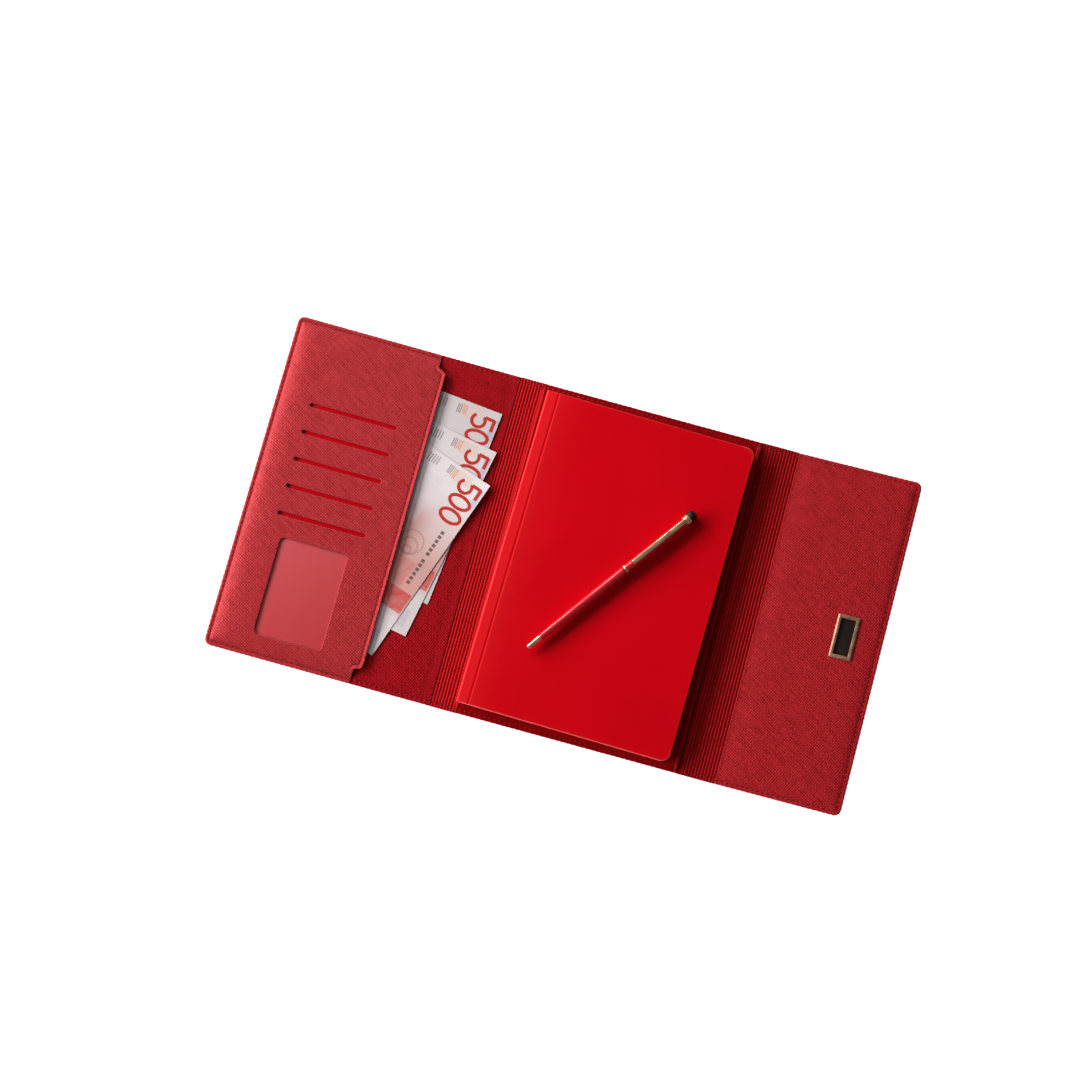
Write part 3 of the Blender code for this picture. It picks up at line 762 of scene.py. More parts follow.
def film():
    """Clear window film with a slight haze, rubbed by cards going in and out."""
    mat = Shader("clear_window_film")
    flat = mat.flat()
    wave = mat.noise(flat, scale=0.035, rough=0.4)
    rub = mat.noise(mat.stretch(flat, (0.25, 2.2, 1.0)), detail=4.0, rough=0.7)
    # paler and more opaque towards the window's -X, +Y corner
    across = mat.dot(flat, (-1 / 108.8, 1 / 108.8, 0)) - 0.642
    colour = mat.mix((across + 0.0).clamped(), rgb(230, 116, 121), rgb(252, 140, 145))
    haze = mat.principled(colour, rough=rub * 0.12 + 0.16,
                          normal=mat.bump(wave, depth=0.0006, strength=0.25))
    clear = mat.node("BsdfTransparent")
    opacity = rub * 0.06 + (across * 0.05 + 0.11)
    return mat.finish(mat.node("MixShader", [(0, opacity), (1, Value(mat, clear.outputs[0])),
                                             (2, Value(mat, haze.outputs[0]))]))


def greyboard():
    mat = Shader("greyboard")
    fibre = mat.noise(mat.stretch(mat.object_coords(), (900, 250, 900)), detail=4.0, rough=0.7)
    return mat.surface(mat.mix(fibre, rgb(122, 116, 108), rgb(176, 168, 156)), rough=0.9,
                       normal=mat.bump(fibre, depth=0.00005))


def metal(name, colour, dark, rough, brush=(40.0, 900.0, 40.0), metallic=1.0, coat=0.0):
    """Metal with fine brushing, and smudges that vary its colour and gloss."""
    mat = Shader(name)
    coords = mat.object_coords()
    lines = mat.noise(mat.stretch(coords, brush), detail=3.0, rough=0.6)
    smudge = mat.noise(coords, scale=160.0, detail=3.0, rough=0.6)
    body = mat.mix(mat.ramp(smudge, (0.3, 0.0), (0.75, 1.0)), rgb(*dark), rgb(*colour))
    return mat.surface(body, rough=smudge * 0.16 + (rough - 0.06),
                       normal=mat.bump(lines, depth=0.00002, strength=0.35),
                       Metallic=metallic, Coat_Weight=coat, Coat_Roughness=0.07)


def magnet():
    mat = Shader("magnet_block")
    grain = mat.noise(mat.stretch(mat.object_coords(), (200, 1400, 200)), detail=3.0)
    return mat.surface(mat.mix(grain, rgb(14, 10, 8), rgb(40, 28, 22)), rough=grain * 0.15 + 0.3,
                       normal=mat.bump(grain, depth=0.00002, strength=0.5), specular=0.35)


def book_cover():
    """Smooth coated card: nearly flat, with a faint leathery print and handling marks, and painted
    highlights and shade.
    """
    mat = Shader("notebook_cover_card")
    flat, shade = mat.flat(), mat.shade()
    fine = mat.noise(flat, scale=1.7, detail=3.0, rough=0.6)
    colour = mat.mix(mat.noise(flat, scale=0.02), rgb(196, 0, 12), rgb(214, 0, 20))
    colour = mat.mix(fine * 0.16, colour, rgb(226, 14, 32))
    # painted highlight where the shade attribute is above 0
    colour = mat.mix(shade.at_least(0.0).clamped(), colour, rgb(238, 70, 66))
    colour = mat.mix((shade - 1.0).clamped() * 0.9, colour, rgb(244, 196, 186))  # pale edge: the card's cut edge along -Y, a painted highlight at the +X, +Y corner
    # painted shade where the shade attribute is below 0
    colour = mat.mix((shade * -1.0).clamped(), colour, rgb(120, 0, 8))
    marks = mat.noise(mat.stretch(flat, (0.05, 0.012, 1)), detail=5.0, rough=0.7)
    return mat.surface(colour, rough=mat.ramp(marks, (0.45, 0.0), (0.8, 1.0)) * 0.1 + 0.42,
                       normal=mat.bump(fine, depth=0.000035, strength=0.5), specular=0.06)


def page_edges():
    mat = Shader("page_edges")
    line = mat.noise(mat.stretch(mat.flat(), (0.02, 0.02, 11.0)), rough=0.8)
    return mat.surface(mat.mix(line, rgb(168, 152, 138), rgb(238, 230, 216)), rough=0.85,
                       normal=mat.bump(line, depth=0.00008, strength=0.8), specular=0.2)


def page_face(name, ruled):
    """Smooth cream paper, with faint ruling on the leaves."""
    mat = Shader(name)
    flat = mat.flat()
    fibre = mat.noise(mat.stretch(flat, (0.9, 1.4, 0.0)), detail=4.0, rough=0.7)
    colour = mat.mix(fibre, rgb(232, 226, 212), rgb(250, 246, 236))
    if ruled:
        line_pitch = 7.0
        wave = mat.dot(flat, (0, TAU / line_pitch, 0)).sine() * 0.5 + 0.5
        line = mat.ramp(wave, (0.982, 0.0), (0.995, 1.0))
        colour = mat.mix(line * 0.5, colour, rgb(146, 146, 156))
    return mat.surface(colour, rough=0.85, normal=mat.bump(fibre, depth=0.00003, strength=0.6),
                       specular=0.2)


def gloss_lacquer():
    mat = Shader("pen_lacquer")
    flat = mat.flat()
    fleck = mat.noise(flat, scale=5.0)
    cloud = mat.noise(flat, scale=0.15)
    swell = mat.noise(flat, scale=1.2)
    return mat.surface(mat.mix((fleck + cloud) * 0.5, rgb(190, 4, 16), rgb(232, 12, 30)),
                       rough=cloud * 0.06 + 0.16,
                       normal=mat.bump(swell, depth=0.00002, strength=0.15),
                       specular=0.5, Coat_Weight=0.6, Coat_Roughness=0.06)


def stylus_rubber():
    mat = Shader("stylus_rubber")
    grain = mat.noise(mat.flat(), scale=3.0, detail=3.0)
    return mat.surface(mat.mix(grain, rgb(8, 6, 6), rgb(22, 18, 17)), rough=grain * 0.15 + 0.45,
                       normal=mat.bump(grain, depth=0.00004, strength=0.5), specular=0.25)


# each leather: overall colour, lines' light tone, lines' dark tone
POCKET_LEATHER = saffiano("pocket_saffiano", (166, 34, 40), (210, 58, 62), (116, 8, 16),
                          specular=0.16, contrast=1.15)
LINING_LEATHER = saffiano("lining_saffiano", (158, 10, 20), (192, 23, 32), (108, 2, 8),
                          specular=0.05, contrast=1.1)
CENTRE_LEATHER = saffiano("centre_saffiano", (152, 2, 10), (184, 8, 17), (104, 0, 3),
                          specular=0.02)
FLAP_LEATHER = saffiano("flap_saffiano", (162, 20, 28), (206, 40, 46), (112, 2, 10),
                        contrast=1.2)
OUTER_LEATHER = saffiano("outer_saffiano", (190, 22, 28), (218, 42, 44), (146, 6, 14))
CORE = cut_core()
RIBBED = ribbed("ribbed_gusset", light=rgb(200, 15, 24), low=rgb(152, 2, 9))
# a darker copy for the right gusset: painted shade for the weaker light and the notebook's shadow
# there
RIBBED_SHADED = ribbed("ribbed_gusset_shaded", light=rgb(186, 12, 19), low=rgb(140, 1, 7))
THREAD = thread()
HOLE_SHADE = needle_hole_shade()
CLOTH = lining_cloth()
FILM = film()
BOARD = greyboard()
GOLD = metal("rose_gold", (246, 212, 170), (206, 162, 116), rough=0.19, metallic=0.8, coat=1.0)
BRONZE = metal("clasp_rose_bronze", (194, 148, 120), (140, 98, 74), rough=0.36,
               brush=(60.0, 60.0, 1200.0), metallic=0.5)
STEEL = metal("steel_plate", (190, 190, 192), (140, 140, 144), rough=0.34)
BRASS = metal("refill_brass", (206, 176, 112), (160, 128, 74), rough=0.3)
MAGNET = magnet()
COVER = book_cover()
PAGES = page_edges()
LEAF = page_face("page_leaf", ruled=True)
ENDPAPER = page_face("page_endpaper", ruled=False)
LACQUER = gloss_lacquer()
RUBBER = stylus_rubber()


# ------------------------------------------------------------------ the wallet's surfaces
# heights over the inset from the wallet's edge, as (inset, z)
BEAD = [(0, 1.50), (0.25, 1.84), (0.7, 2.00), (1.5, 2.05), (2.0, 2.00)]
RIM = BEAD + [(SEAM, 1.86), (3.1, 2.04), (4.0, 2.30), (5.2, 2.50), (7.2, 2.68), (10.5, 2.79),
              (13, 2.80)]
RIM_LEFT = BEAD + [(SEAM, 1.84), (3.1, 1.98), (4.0, 2.18), (5.2, 2.32), (7.2, 2.42),
                   (10.5, 2.49), (13, 2.50)]
RIM_UNDER_POCKET = [(0, 1.42), (1, 1.48), (SEAM, 1.48), (4.6, 2.20), (9, 2.42)]
RIM_POCKET = [(0, 1.80), (0.25, 2.12), (0.7, 2.29), (1.5, 2.34), (2.0, 2.25), (SEAM, 2.02),
              (3.1, 2.30), (3.9, 2.88), (5, 3.48), (7, 4.14), (9, 4.55), (12, 4.86), (16, 5.0)]
POCKET_UNDERSIDE = [(0, 1.50), (3.1, 1.52), (4, 2.05), (5, 2.70), (7, 3.40), (9, 3.80),
                    (12, 4.08), (16, 4.20)]
RIM_SLEEVE = [(0.35, 2.10), (0.7, 2.38), (1.5, 2.46), (2.0, 2.38), (SEAM, 2.18), (3.1, 2.42),
              (3.8, 2.80), (4.6, 3.06), (6.2, 3.24), (9, 3.30)]
LINING_UNDERSIDE = [(0, 1.17), (3.1, 1.17), (4.6, 2.20), (9, 2.25)]
LEFT_UNDERSIDE = [(0, 1.17), (3.1, 1.17), (4.4, 1.98), (9, 2.03)]
OUTER_TOP = [(0, 1.13), (3, 1.13), (4.6, 1.0), (9, 1.0)]
OUTER_UNDERSIDE = [(0, 0.62), (0.25, 0.24), (0.7, 0.07), (1.5, 0.03), (2.0, 0.10),
                   (SEAM, 0.26), (3.1, 0.08), (4.0, 0.01), (9, 0)]
GUSSET_VALLEY = [(0, 1.34), (0.5, 1.48), (SEAM, 1.44), (4, 1.54), (8, 1.60)]
GUSSET_RISE = [(0, 0.20), (0.4, 0.38), (1.2, 0.46), (1.9, 0.40), (SEAM, 0.16), (3.2, 0.38),
               (4.5, 0.50), (7, 0.54)]
WELT_RIM = [(0.5, 2.3), (SEAM, 2.2), (4.6, 3.2)]

GUSSET_LEFT = (-90.1, 1.978, 9)                    # first valley's x, rib pitch, ribs
GUSSET_RIGHT = (97.0 - 12 * 2.017, 2.017, 12)
LEFT_LINING_END, CENTRE_LINING_X, FLAP_LINING_START = -90.35, (-72.1, 72.3), 97.15
SLEEVE_X = (-24.6, 69.25)
WELT_X = (69.45, 72.35)


def lip_path():
    """The pocket's mouth, from -Y to +Y: it steps out over a soft shoulder at each end."""
    edge, lip, half = POCKET_EDGE, POCKET_LIP, LIP_HALF_Y
    return np.array([
        (edge, -HALF_Y), (edge, -half - 3.1), (edge + 0.12, -half - 2.4),
        (edge + 0.5, -half - 1.85), (edge + 1.1, -half - 1.6), (edge + 2.0, -half - 1.55),
        (edge + 3.0, -half - 1.45), (edge + 3.9, -half - 1.05), (lip - 0.65, -half - 0.2),
        (lip - 0.22, -half + 0.9), (lip - 0.03, -half + 2.0), (lip, -half + 3.0),
        (lip, half - 1.1), (lip - 0.2, half - 0.35), (lip - 0.75, half + 0.2),
        (edge + 1.0, half + 1.85), (edge + 0.3, half + 2.35), (edge, half + 3.1),
        (edge, HALF_Y)])


LIP = lip_path()


def lip_distance(x, y):
    return distance_to(np.column_stack([x, y]), zip(LIP[:-1], LIP[1:]))


def lip_zone(y):
    """1 along the mouth, falling to 0 at its ends."""
    return 1 - smooth01((np.abs(y) - (LIP_HALF_Y + 1.2)) / 2.6)


def eased_inset(x, y, width=9.0):
    """The inset, with the mitre lines in the corners smoothed away beyond the sewing."""
    depth = inset(x, y)
    from_end = np.minimum(x - LEFT_X, RIGHT_X - x)
    from_side = HALF_Y - np.abs(y)
    near = np.maximum(width - np.abs(from_end - from_side), 0) / width
    return depth - near * near * width / 4 * smooth01((depth - 3.2) / 5)


def pocket_swell(x, y):
    """What the pocket's soft waviness and its open mouth add to its height."""
    depth = eased_inset(x, y)
    waviness = 0.05 * ripple(x, y, 46, 3) * smooth01((depth - 6) / 10)
    along = np.cos(math.pi * np.clip(y / 214, -0.5, 0.5)) ** 2
    mouth = 0.30 * np.exp(-lip_distance(x, y) / 13) * along
    return waviness + mouth * smooth01((depth - 4) / 8)


def pocket_top(x, y):
    from_lip = lip_distance(x, y)
    turned_edge = 0.30 * (1 - smooth01((from_lip - 0.15) / 2.0))
    groove = 0.22 * bell(from_lip - 2.4, 0.34)
    z = curve(eased_inset(x, y), RIM_POCKET) + pocket_swell(x, y)
    return z + lip_zone(y) * (turned_edge - groove) - rounded(from_lip, 0.32, 0.26)


def left_top(x, y, own=None):
    depth = inset(x, y)
    clear = smooth01((x + 146.2) / 2.4)   # 0 under the pocket, 1 beside it
    z = curve(depth, RIM_UNDER_POCKET) * (1 - clear) + curve(depth, RIM_LEFT) * clear
    z = z + 0.03 * ripple(x, y, 30, 5) * smooth01((depth - 5) / 8)
    z = z - 0.20 * smooth01((x + 99.5) / 4.5) * smooth01((depth - 3) / 3)
    return z - rounded(LEFT_LINING_END - x, 0.45, 0.40)


def centre_top(x, y, own=None):
    depth = inset(x, y)
    z = curve(depth, RIM) + 0.03 * ripple(x, y, 30, 7) * smooth01((depth - 5) / 8)
    from_end = np.minimum(x - CENTRE_LINING_X[0], CENTRE_LINING_X[1] - x)
    return z - rounded(from_end, 0.45, 0.40)


def sleeve_top(x, y, own=None):
    return curve(inset(x, y), RIM_SLEEVE) - rounded(x - SLEEVE_X[0], 0.35, 0.28)


def flap_top(x, y, own=None):
    depth = inset(x, y)
    swell = 0.03 * ripple(x, y, 34, 9) + 0.10 * smooth01((depth - 8) / 26)
    z = curve(depth, RIM) + swell * smooth01((depth - 5) / 8)
    z = z - 0.46 * (1 - smooth01((x - 98.5) / 11.0)) * smooth01((depth - 3) / 3)
    return z - rounded(x - FLAP_LINING_START, 0.45, 0.40)


def underside(x, y, own=None):
    z = curve(inset(x, y), OUTER_UNDERSIDE)
    for crease in CREASES:
        z = z + 0.26 * bell(x - crease.axis, 1.25)
    return z


def below(top, knots, thickness):
    """The underside of an inner leather: along knots, but at least thickness below its top."""
    return lambda x, y, own: np.minimum(curve(inset(x, y), knots), top(x, y) - thickness)


def seam_shade_and_rim_highlight(x, y, own):
    """Painted shade in the sewing groove, and a lighter outer edge, partly a painted highlight and
    partly rubbed wear.
    """
    depth = inset(x, y)
    return 0.42 * bell(depth, 0.55) - 0.30 * bell(depth - SEAM, 0.42)


# rings of points beside an edge on the wallet's rim: distance, and keep one point in so many
PERIMETER = dict(step=STITCH_PITCH / 4, rings=[
    (0.25, 1), (0.7, 1), (1.5, 1), (2.0, 1), (SEAM, 1), (3.1, 1), (4.0, 1), (5.2, 2), (7.2, 2),
    (10.0, 3)])


def crease_points(crease):
    """Close columns of points, so that a sheet can bend over its crease."""
    return np.array([(x, y) for x in np.linspace(crease.start - 1.2, crease.end + 1.2, 15)
                     for y in np.arange(-HALF_Y + 6, HALF_Y - 5.9, 3.0)])


# ------------------------------------------------------------------ outer leather
# four stretches, one over each crease; the underside is the one seen, so it carries the painted
# seam shade and the lighter, partly painted-highlight rim
STRETCH_ENDS = (LEFT_X, -86.35, 0.0, 86.3, RIGHT_X)
STRETCHES = (("left", ("left_outer_cover", "left_outer_crease", "left_spine_cover")),
             ("centre_left", ("left_inner_crease", "centre_outer_cover", "left_spine_cover")),
             ("centre_right", ("right_inner_crease", "centre_outer_cover", "right_spine_cover")),
             ("flap", ("right_outer_crease", "flap_outer_cover", "right_spine_cover")))
for k, ((part, nodes), crease) in enumerate(zip(STRETCHES, CREASES)):
    outline = rectangle(STRETCH_ENDS[k], STRETCH_ENDS[k + 1], -HALF_Y, HALF_Y,
                        CORNER_R if k == 0 else 0, CORNER_R if k == 3 else 0)
    leather = sheet("outer_leather_" + part, outline, OUTER_LEATHER,
                    lambda x, y, own: curve(inset(x, y), OUTER_TOP), underside,
                    place=lay, shade=seam_shade_and_rim_highlight, shade_all=True, grid=9.0, wallet_rim=True,
                    extra=crease_points(crease), slot="saffiano_leather", side_rows=2,
                    **PERIMETER)
    bend(leather, crease, *nodes)


# ------------------------------------------------------------------ inner leather
def beside_pocket(x, y, own):
    """Painted shade in the gap where the pocket's leather ends in the rim."""
    gap_shade = np.exp(-(np.maximum(x + 142.75, 0) / 0.55) ** 2) * (np.abs(y) > LIP_HALF_Y + 1.0)
    return np.clip(seam_shade_and_rim_highlight(x, y, own) - 0.85 * gap_shade, -1, 1)


joint_points = [[(x, sign * y) for x in np.linspace(-143.4, -141.6, 10)
                 for y in np.linspace(100.5, 110.9, 14)] for sign in (1, -1)]
leather = sheet("left_inner_leather",
                rectangle(LEFT_X, LEFT_LINING_END, -HALF_Y, HALF_Y, CORNER_R, 0),
                LINING_LEATHER, left_top, below(left_top, LEFT_UNDERSIDE, 0.25),
                place=lay, shade=beside_pocket, grid=6.0, slot="lining_leather",
                extra=np.concatenate([crease_points(LEFT_OUTER), *joint_points]), **PERIMETER)
bend(leather, LEFT_OUTER, "left_lining")

leather = sheet("centre_inner_leather", rectangle(*CENTRE_LINING_X, -HALF_Y, HALF_Y),
                CENTRE_LEATHER, centre_top, below(centre_top, LINING_UNDERSIDE, 0.3),
                shade=seam_shade_and_rim_highlight, grid=7.0, slot="lining_leather", **PERIMETER)
attach(leather, "centre_panel", "centre_lining")

leather = sheet("notebook_sleeve_leather", rectangle(*SLEEVE_X, -HALF_Y + 0.35, HALF_Y - 0.35),
                CENTRE_LEATHER, sleeve_top,
                lambda x, y, own: np.minimum(centre_top(x, y) + 0.02, sleeve_top(x, y) - 0.12),
                shade=seam_shade_and_rim_highlight, grid=7.0, slot="lining_leather", **PERIMETER)
attach(leather, "centre_panel", "notebook_sleeve")

clasp_hole = rectangle(CLASP_X - 6.1, CLASP_X + 6.1, CLASP_Y - 13.1, CLASP_Y + 13.1)
leather = sheet("flap_inner_leather",
                rectangle(FLAP_LINING_START, RIGHT_X, -HALF_Y, HALF_Y, 0, CORNER_R),
                FLAP_LEATHER, flap_top, below(flap_top, LINING_UNDERSIDE, 0.3),
                holes=[clasp_hole], hole_rings=[(0.4, 1), (1.2, 2)], hole_step=1.2, place=lay,
                shade=seam_shade_and_rim_highlight, grid=6.0, extra=crease_points(RIGHT_OUTER),
                slot="lining_leather", **PERIMETER)
bend(leather, RIGHT_OUTER, "flap_lining")


# ------------------------------------------------------------------ welt at the sleeve's +X end
def strip(name, section, ys, mat, shape, shade, place=None, smooth=40, slot=None):
    """A closed strip along Y: the section's (x, z) points, shaped at each y."""
    rows = []
    for y in ys:
        points = shape(np.array(section, float), y)
        rows.append(np.column_stack([points[:, 0], np.full(len(section), y), points[:, 1]]))
    verts, faces = loft(rows)
    return make_solid(name, verts, faces, mat, place, smooth, shade=shade(verts), slot=slot)


WELT_Z = 2.45
WELT_HEIGHT = [(0.5, 0.30), (1.4, 0.42), (SEAM, 0.30), (3.6, 0.62), (5.6, 1.0), (9, 1.0)]
WELT_BASE = [(0.5, 1.9), (SEAM, 1.8), (4.6, 2.45), (9, 2.45)]


def welt_shape(points, y):
    """Flattens the welt towards its sewn ends."""
    depth = np.array([HALF_Y - abs(y)])
    height, base = curve(depth, WELT_HEIGHT)[0], curve(depth, WELT_BASE)[0]
    return np.column_stack([points[:, 0] + 0.05 * math.sin(y * 0.11 + 1),
                            base + (points[:, 1] - WELT_Z) * height + 0.03 * math.sin(y * 1.9)])


welt_middle, welt_half = (WELT_X[0] + WELT_X[1]) / 2, (WELT_X[1] - WELT_X[0]) / 2
welt_section = [(WELT_X[0], WELT_Z), (WELT_X[1], WELT_Z)] + [
    (welt_middle + welt_half * math.cos(angle), 2.95 + 0.95 * math.sin(angle) ** 0.8)
    for angle in np.radians(np.linspace(4, 176, 13))]
welt_ends = np.linspace(HALF_Y - 6, HALF_Y - 0.8, 9)
welt_ys = sorted(set(np.round(np.concatenate([
    np.arange(-HALF_Y + 0.7, HALF_Y - 0.6, 1.1), [HALF_Y - 0.7], welt_ends, -welt_ends]), 4)))
# the shade lambda paints a highlight along the welt's crown
welt = strip("sleeve_welt_leather", welt_section, welt_ys, LINING_LEATHER, welt_shape,
             lambda verts: 0.25 * bell(verts[:, 2] - 3.85, 0.25), slot="saffiano_leather")
attach(welt, "centre_panel", "sleeve_welt")


# ------------------------------------------------------------------ ribbed gussets
def rib_bulge(share):
    """A rib's height, from 0 to 1, over its pitch."""
    return np.sin(math.pi * np.clip((share - 0.05) / 0.90, 0, 1)) ** 0.55


def gusset(name, ribs, mat, seed, tuck=0.0):
    """Ribs along Y. tuck carries the last column on, under the next leather."""
    first, pitch, count = ribs
    last = first + count * pitch
    shares = np.array([0, 0.05, 0.11, 0.20, 0.34, 0.5, 0.66, 0.80, 0.89, 0.95])
    xs = np.concatenate([first + (k + shares) * pitch for k in range(count)] + [[last]])
    bulges = np.concatenate([rib_bulge(shares)] * count + [[0.0]])
    ends = np.array([0.0, 0.25, 0.6, 1.1, 1.6, 2.1, SEAM, 3.0, 3.6, 4.4, 5.4])
    ys = np.concatenate([-HALF_Y + ends, np.arange(-HALF_Y + 6.4, HALF_Y - 6.0, 1.15),
                         (HALF_Y - ends)[::-1]])
    x, y = np.meshgrid(xs, ys)
    bulge = np.tile(bulges, (len(ys), 1))
    depth = HALF_Y - np.abs(y)
    rib = np.round((x - first) / pitch - 0.5)
    uneven = 1 + 0.10 * ripple(rib * 37.0, y, 5.0, seed) + 0.07 * ripple(rib * 13.0, y, 1.7,
                                                                       seed + 1)
    z = curve(depth, GUSSET_VALLEY) + curve(depth, GUSSET_RISE) * bulge * uneven
    # the left gusset's last rib climbs over the centre board's edge
    z = z + 0.66 * (smooth01((x + 74.9) / 0.7) * (x < 0) * smooth01((depth - 3.2) / 1.3))
    free = np.clip((x - first) / pitch, 0, 1) * np.clip((last - x) / pitch, 0, 1)
    wander = 0.09 * ripple(rib * 0.0, y, 34.0, seed + 2) + 0.05 * ripple(rib * 29.0, y, 6.0,
                                                                       seed + 3)
    drawn_x = x + free * wander
    drawn_x = np.where(drawn_x > first + (count - 0.02) * pitch, drawn_x, drawn_x)
    drawn_x = np.where(x > first + (count - 0.02) * pitch, drawn_x + tuck, drawn_x)
    drawn_y = y + np.sign(y) * np.where(depth < 0.3, 0.12 * bulge, 0)
    columns, rows = len(xs), len(ys)
    size = columns * rows
    upper_verts = np.column_stack([drawn_x.ravel(), drawn_y.ravel(), z.ravel()])
    lower_verts = np.column_stack([drawn_x.ravel(), drawn_y.ravel(), np.full(size, 1.17)])
    faces = layer_faces(columns, rows)
    for i in range(columns - 1):
        faces.append((i, i + size, i + 1 + size, i + 1))
        j = (rows - 1) * columns + i
        faces.append((j, j + 1, j + 1 + size, j + size))
    for i in range(0, (rows - 1) * columns, columns):
        faces.append((i, i + columns, i + columns + size, i + size))
        j = i + columns - 1
        faces.append((j, j + size, j + columns + size, j + columns))
    shade = np.zeros(2 * size)
    # painted shade: darker in the valleys between the ribs and in the sewing groove
    shade[:size] = (-0.34 * (1 - bulge) ** 1.5 - 0.3 * bell(depth - SEAM, 0.4)).ravel()
    return make(name, np.concatenate([upper_verts, lower_verts]), faces, mat, lay, 60,
                shade=np.clip(shade, -1, 0), slot="ribbed_gusset")


bend(gusset("left_ribbed_gusset", GUSSET_LEFT, RIBBED, seed=21, tuck=0.42),
     LEFT_INNER, "left_gusset")
bend(gusset("right_ribbed_gusset", GUSSET_RIGHT, RIBBED_SHADED, seed=41),
     RIGHT_INNER, "right_gusset")

# ------------------------------------------------------------------ the card pocket
punched = [slot_loop(SLOT_X[0] - 0.09 * i, SLOT_X[1] - 0.09 * i, y, SLOT_WIDTH)
           for i, y in enumerate(SLOT_YS)] + [rectangle(*WINDOW, WINDOW_R, WINDOW_R)]


def pocket_punched_top(x, y, own):
    from_hole = edge_distance(np.column_stack([x, y]), punched)
    bevel = 0.16 * np.clip(1 - from_hole / 0.24, 0, 1)
    return pocket_top(x, y) - bevel - 0.10 * np.exp(-from_hole / 0.9)


def pocket_underside(x, y, own):
    depth = eased_inset(x, y)
    z = curve(depth, POCKET_UNDERSIDE) + pocket_swell(x, y)
    folded = smooth01((2.4 - lip_distance(x, y)) / 0.6)
    return z - 0.22 * folded * lip_zone(y) * smooth01((depth - 5) / 6)


def pocket_shade(x, y, own):
    # a painted highlight on the mouth's turned edge, painted shade in its sewing groove, and
    # painted shade beside the pocket's edge past the mouth's ends
    from_lip, zone = lip_distance(x, y), lip_zone(y)
    worn = 0.55 * (1 - smooth01((from_lip - 1.5) / 0.7))
    shade = seam_shade_and_rim_highlight(x, y, own) + zone * (worn - 0.35 * bell(from_lip - 2.4, 0.35))
    return np.clip(shade - 0.2 * (1 - zone) * bell(from_lip, 0.5), -1, 1)


pocket_outline = np.array([
    *LIP.tolist(), *arc(LEFT_X + CORNER_R, HALF_Y - CORNER_R, CORNER_R, 90, 180),
    *arc(LEFT_X + CORNER_R, -HALF_Y + CORNER_R, CORNER_R, 180, 270)])
pocket = sheet("card_pocket_leather", pocket_outline, POCKET_LEATHER, pocket_punched_top,
               pocket_underside, holes=punched, hole_rings=[(0.24, 1), (0.5, 1), (1.3, 2)],
               hole_step=0.7, place=on_left, shade=pocket_shade, core=CORE,
               rings=[(0.25, 1), (0.7, 1), (1.15, 1), (1.6, 1), (2.0, 1), (2.4, 1), (2.8, 1),
                      (3.3, 1), (3.9, 1), (5, 2), (7, 2), (9.5, 3), (13, 4)],
               step=STITCH_PITCH / 4, grid=5.0, slot="pocket_leather")
attach(pocket, "left_panel", "card_pocket_panel")


def slot_end_shade(x, y, own):
    """Painted shadow: each slot is darkest at its -X end, where its wall shades the cloth."""
    return -sum(np.exp(-(((x - SLOT_X[0] - 1.0) / 1.9) ** 2 + ((y - slot_y) / 2.2) ** 2))
                for slot_y in SLOT_YS)


def backing_z(x, y):
    return 3.60 + 0.40 * smooth01((y + 27) / 4) + 0.04 * ripple(x, y, 14, 71) * (y < -26)


def divider_z(x, y, own):
    return 3.36 + 0.03 * ripple(x, y, 20, 73)


def film_z(x, y, own):
    return 3.93 + 0.035 * ripple(x, y, 26, 75)


backing = sheet("slot_backing_cloth",
                rectangle(LEFT_X + 9, POCKET_EDGE - 6, -HALF_Y + 7, HALF_Y - 34, 2, 2), CLOTH,
                lambda x, y, own: backing_z(x, y) + 0.12 - rounded(own, 0.3, 0.08),
                lambda x, y, own: backing_z(x, y), place=on_left, scallop=False,
                shade=slot_end_shade, rings=[(0.3, 1), (1.5, 2)], step=3.0, grid=1.5,
                slot="slot_fabric")
attach(backing, "left_panel", "slot_lining")
divider = sheet("pocket_divider_cloth",
                rectangle(LEFT_X + 9, POCKET_EDGE - 1.5, -HALF_Y + 9, HALF_Y - 9, 2, 1), CLOTH,
                lambda x, y, own: divider_z(x, y, own) + 0.11, divider_z, place=on_left,
                scallop=False, rings=[(0.4, 1)], step=3.0, grid=6.0, slot="slot_fabric")
attach(divider, "left_panel", "pocket_divider")
pane = sheet("window_film_sheet",
             rectangle(WINDOW[0] - 4, WINDOW[1] + 4, WINDOW[2] - 4, WINDOW[3] + 4, 2, 2), FILM,
             lambda x, y, own: film_z(x, y, own) + 0.11, film_z, place=on_left, scallop=False,
             rings=[(0.4, 1)], step=2.5, grid=2.5, slot="window_film")
attach(pane, "left_panel", "id_window_film")


# ------------------------------------------------------------------ sewing
def gusset_height(x, y, first, pitch, count):
    depth = HALF_Y - np.abs(y)
    bulge = rib_bulge(np.mod((x - first) / pitch, 1.0))
    return curve(depth, GUSSET_VALLEY) + curve(depth, GUSSET_RISE) * bulge


def upper(x, y):
    """Height of the wallet's upper side near its sewn rim, lying flat."""
    depth = inset(x, y)
    z = np.where(x < POCKET_EDGE, curve(depth, RIM_POCKET), left_top(x, y))
    z = np.where(x > LEFT_LINING_END, gusset_height(x, y, *GUSSET_LEFT), z)
    z = np.where(x > CENTRE_LINING_X[0], curve(depth, RIM), z)
    z = np.where(x > SLEEVE_X[0], curve(depth, RIM_SLEEVE), z)
    z = np.where((x > WELT_X[0]) & (x < WELT_X[1]), curve(depth, WELT_RIM), z)
    z = np.where(x > CENTRE_LINING_X[1] + 0.3, gusset_height(x, y, *GUSSET_RIGHT), z)
    return np.where(x > FLAP_LINING_START, flap_top(x, y), z)


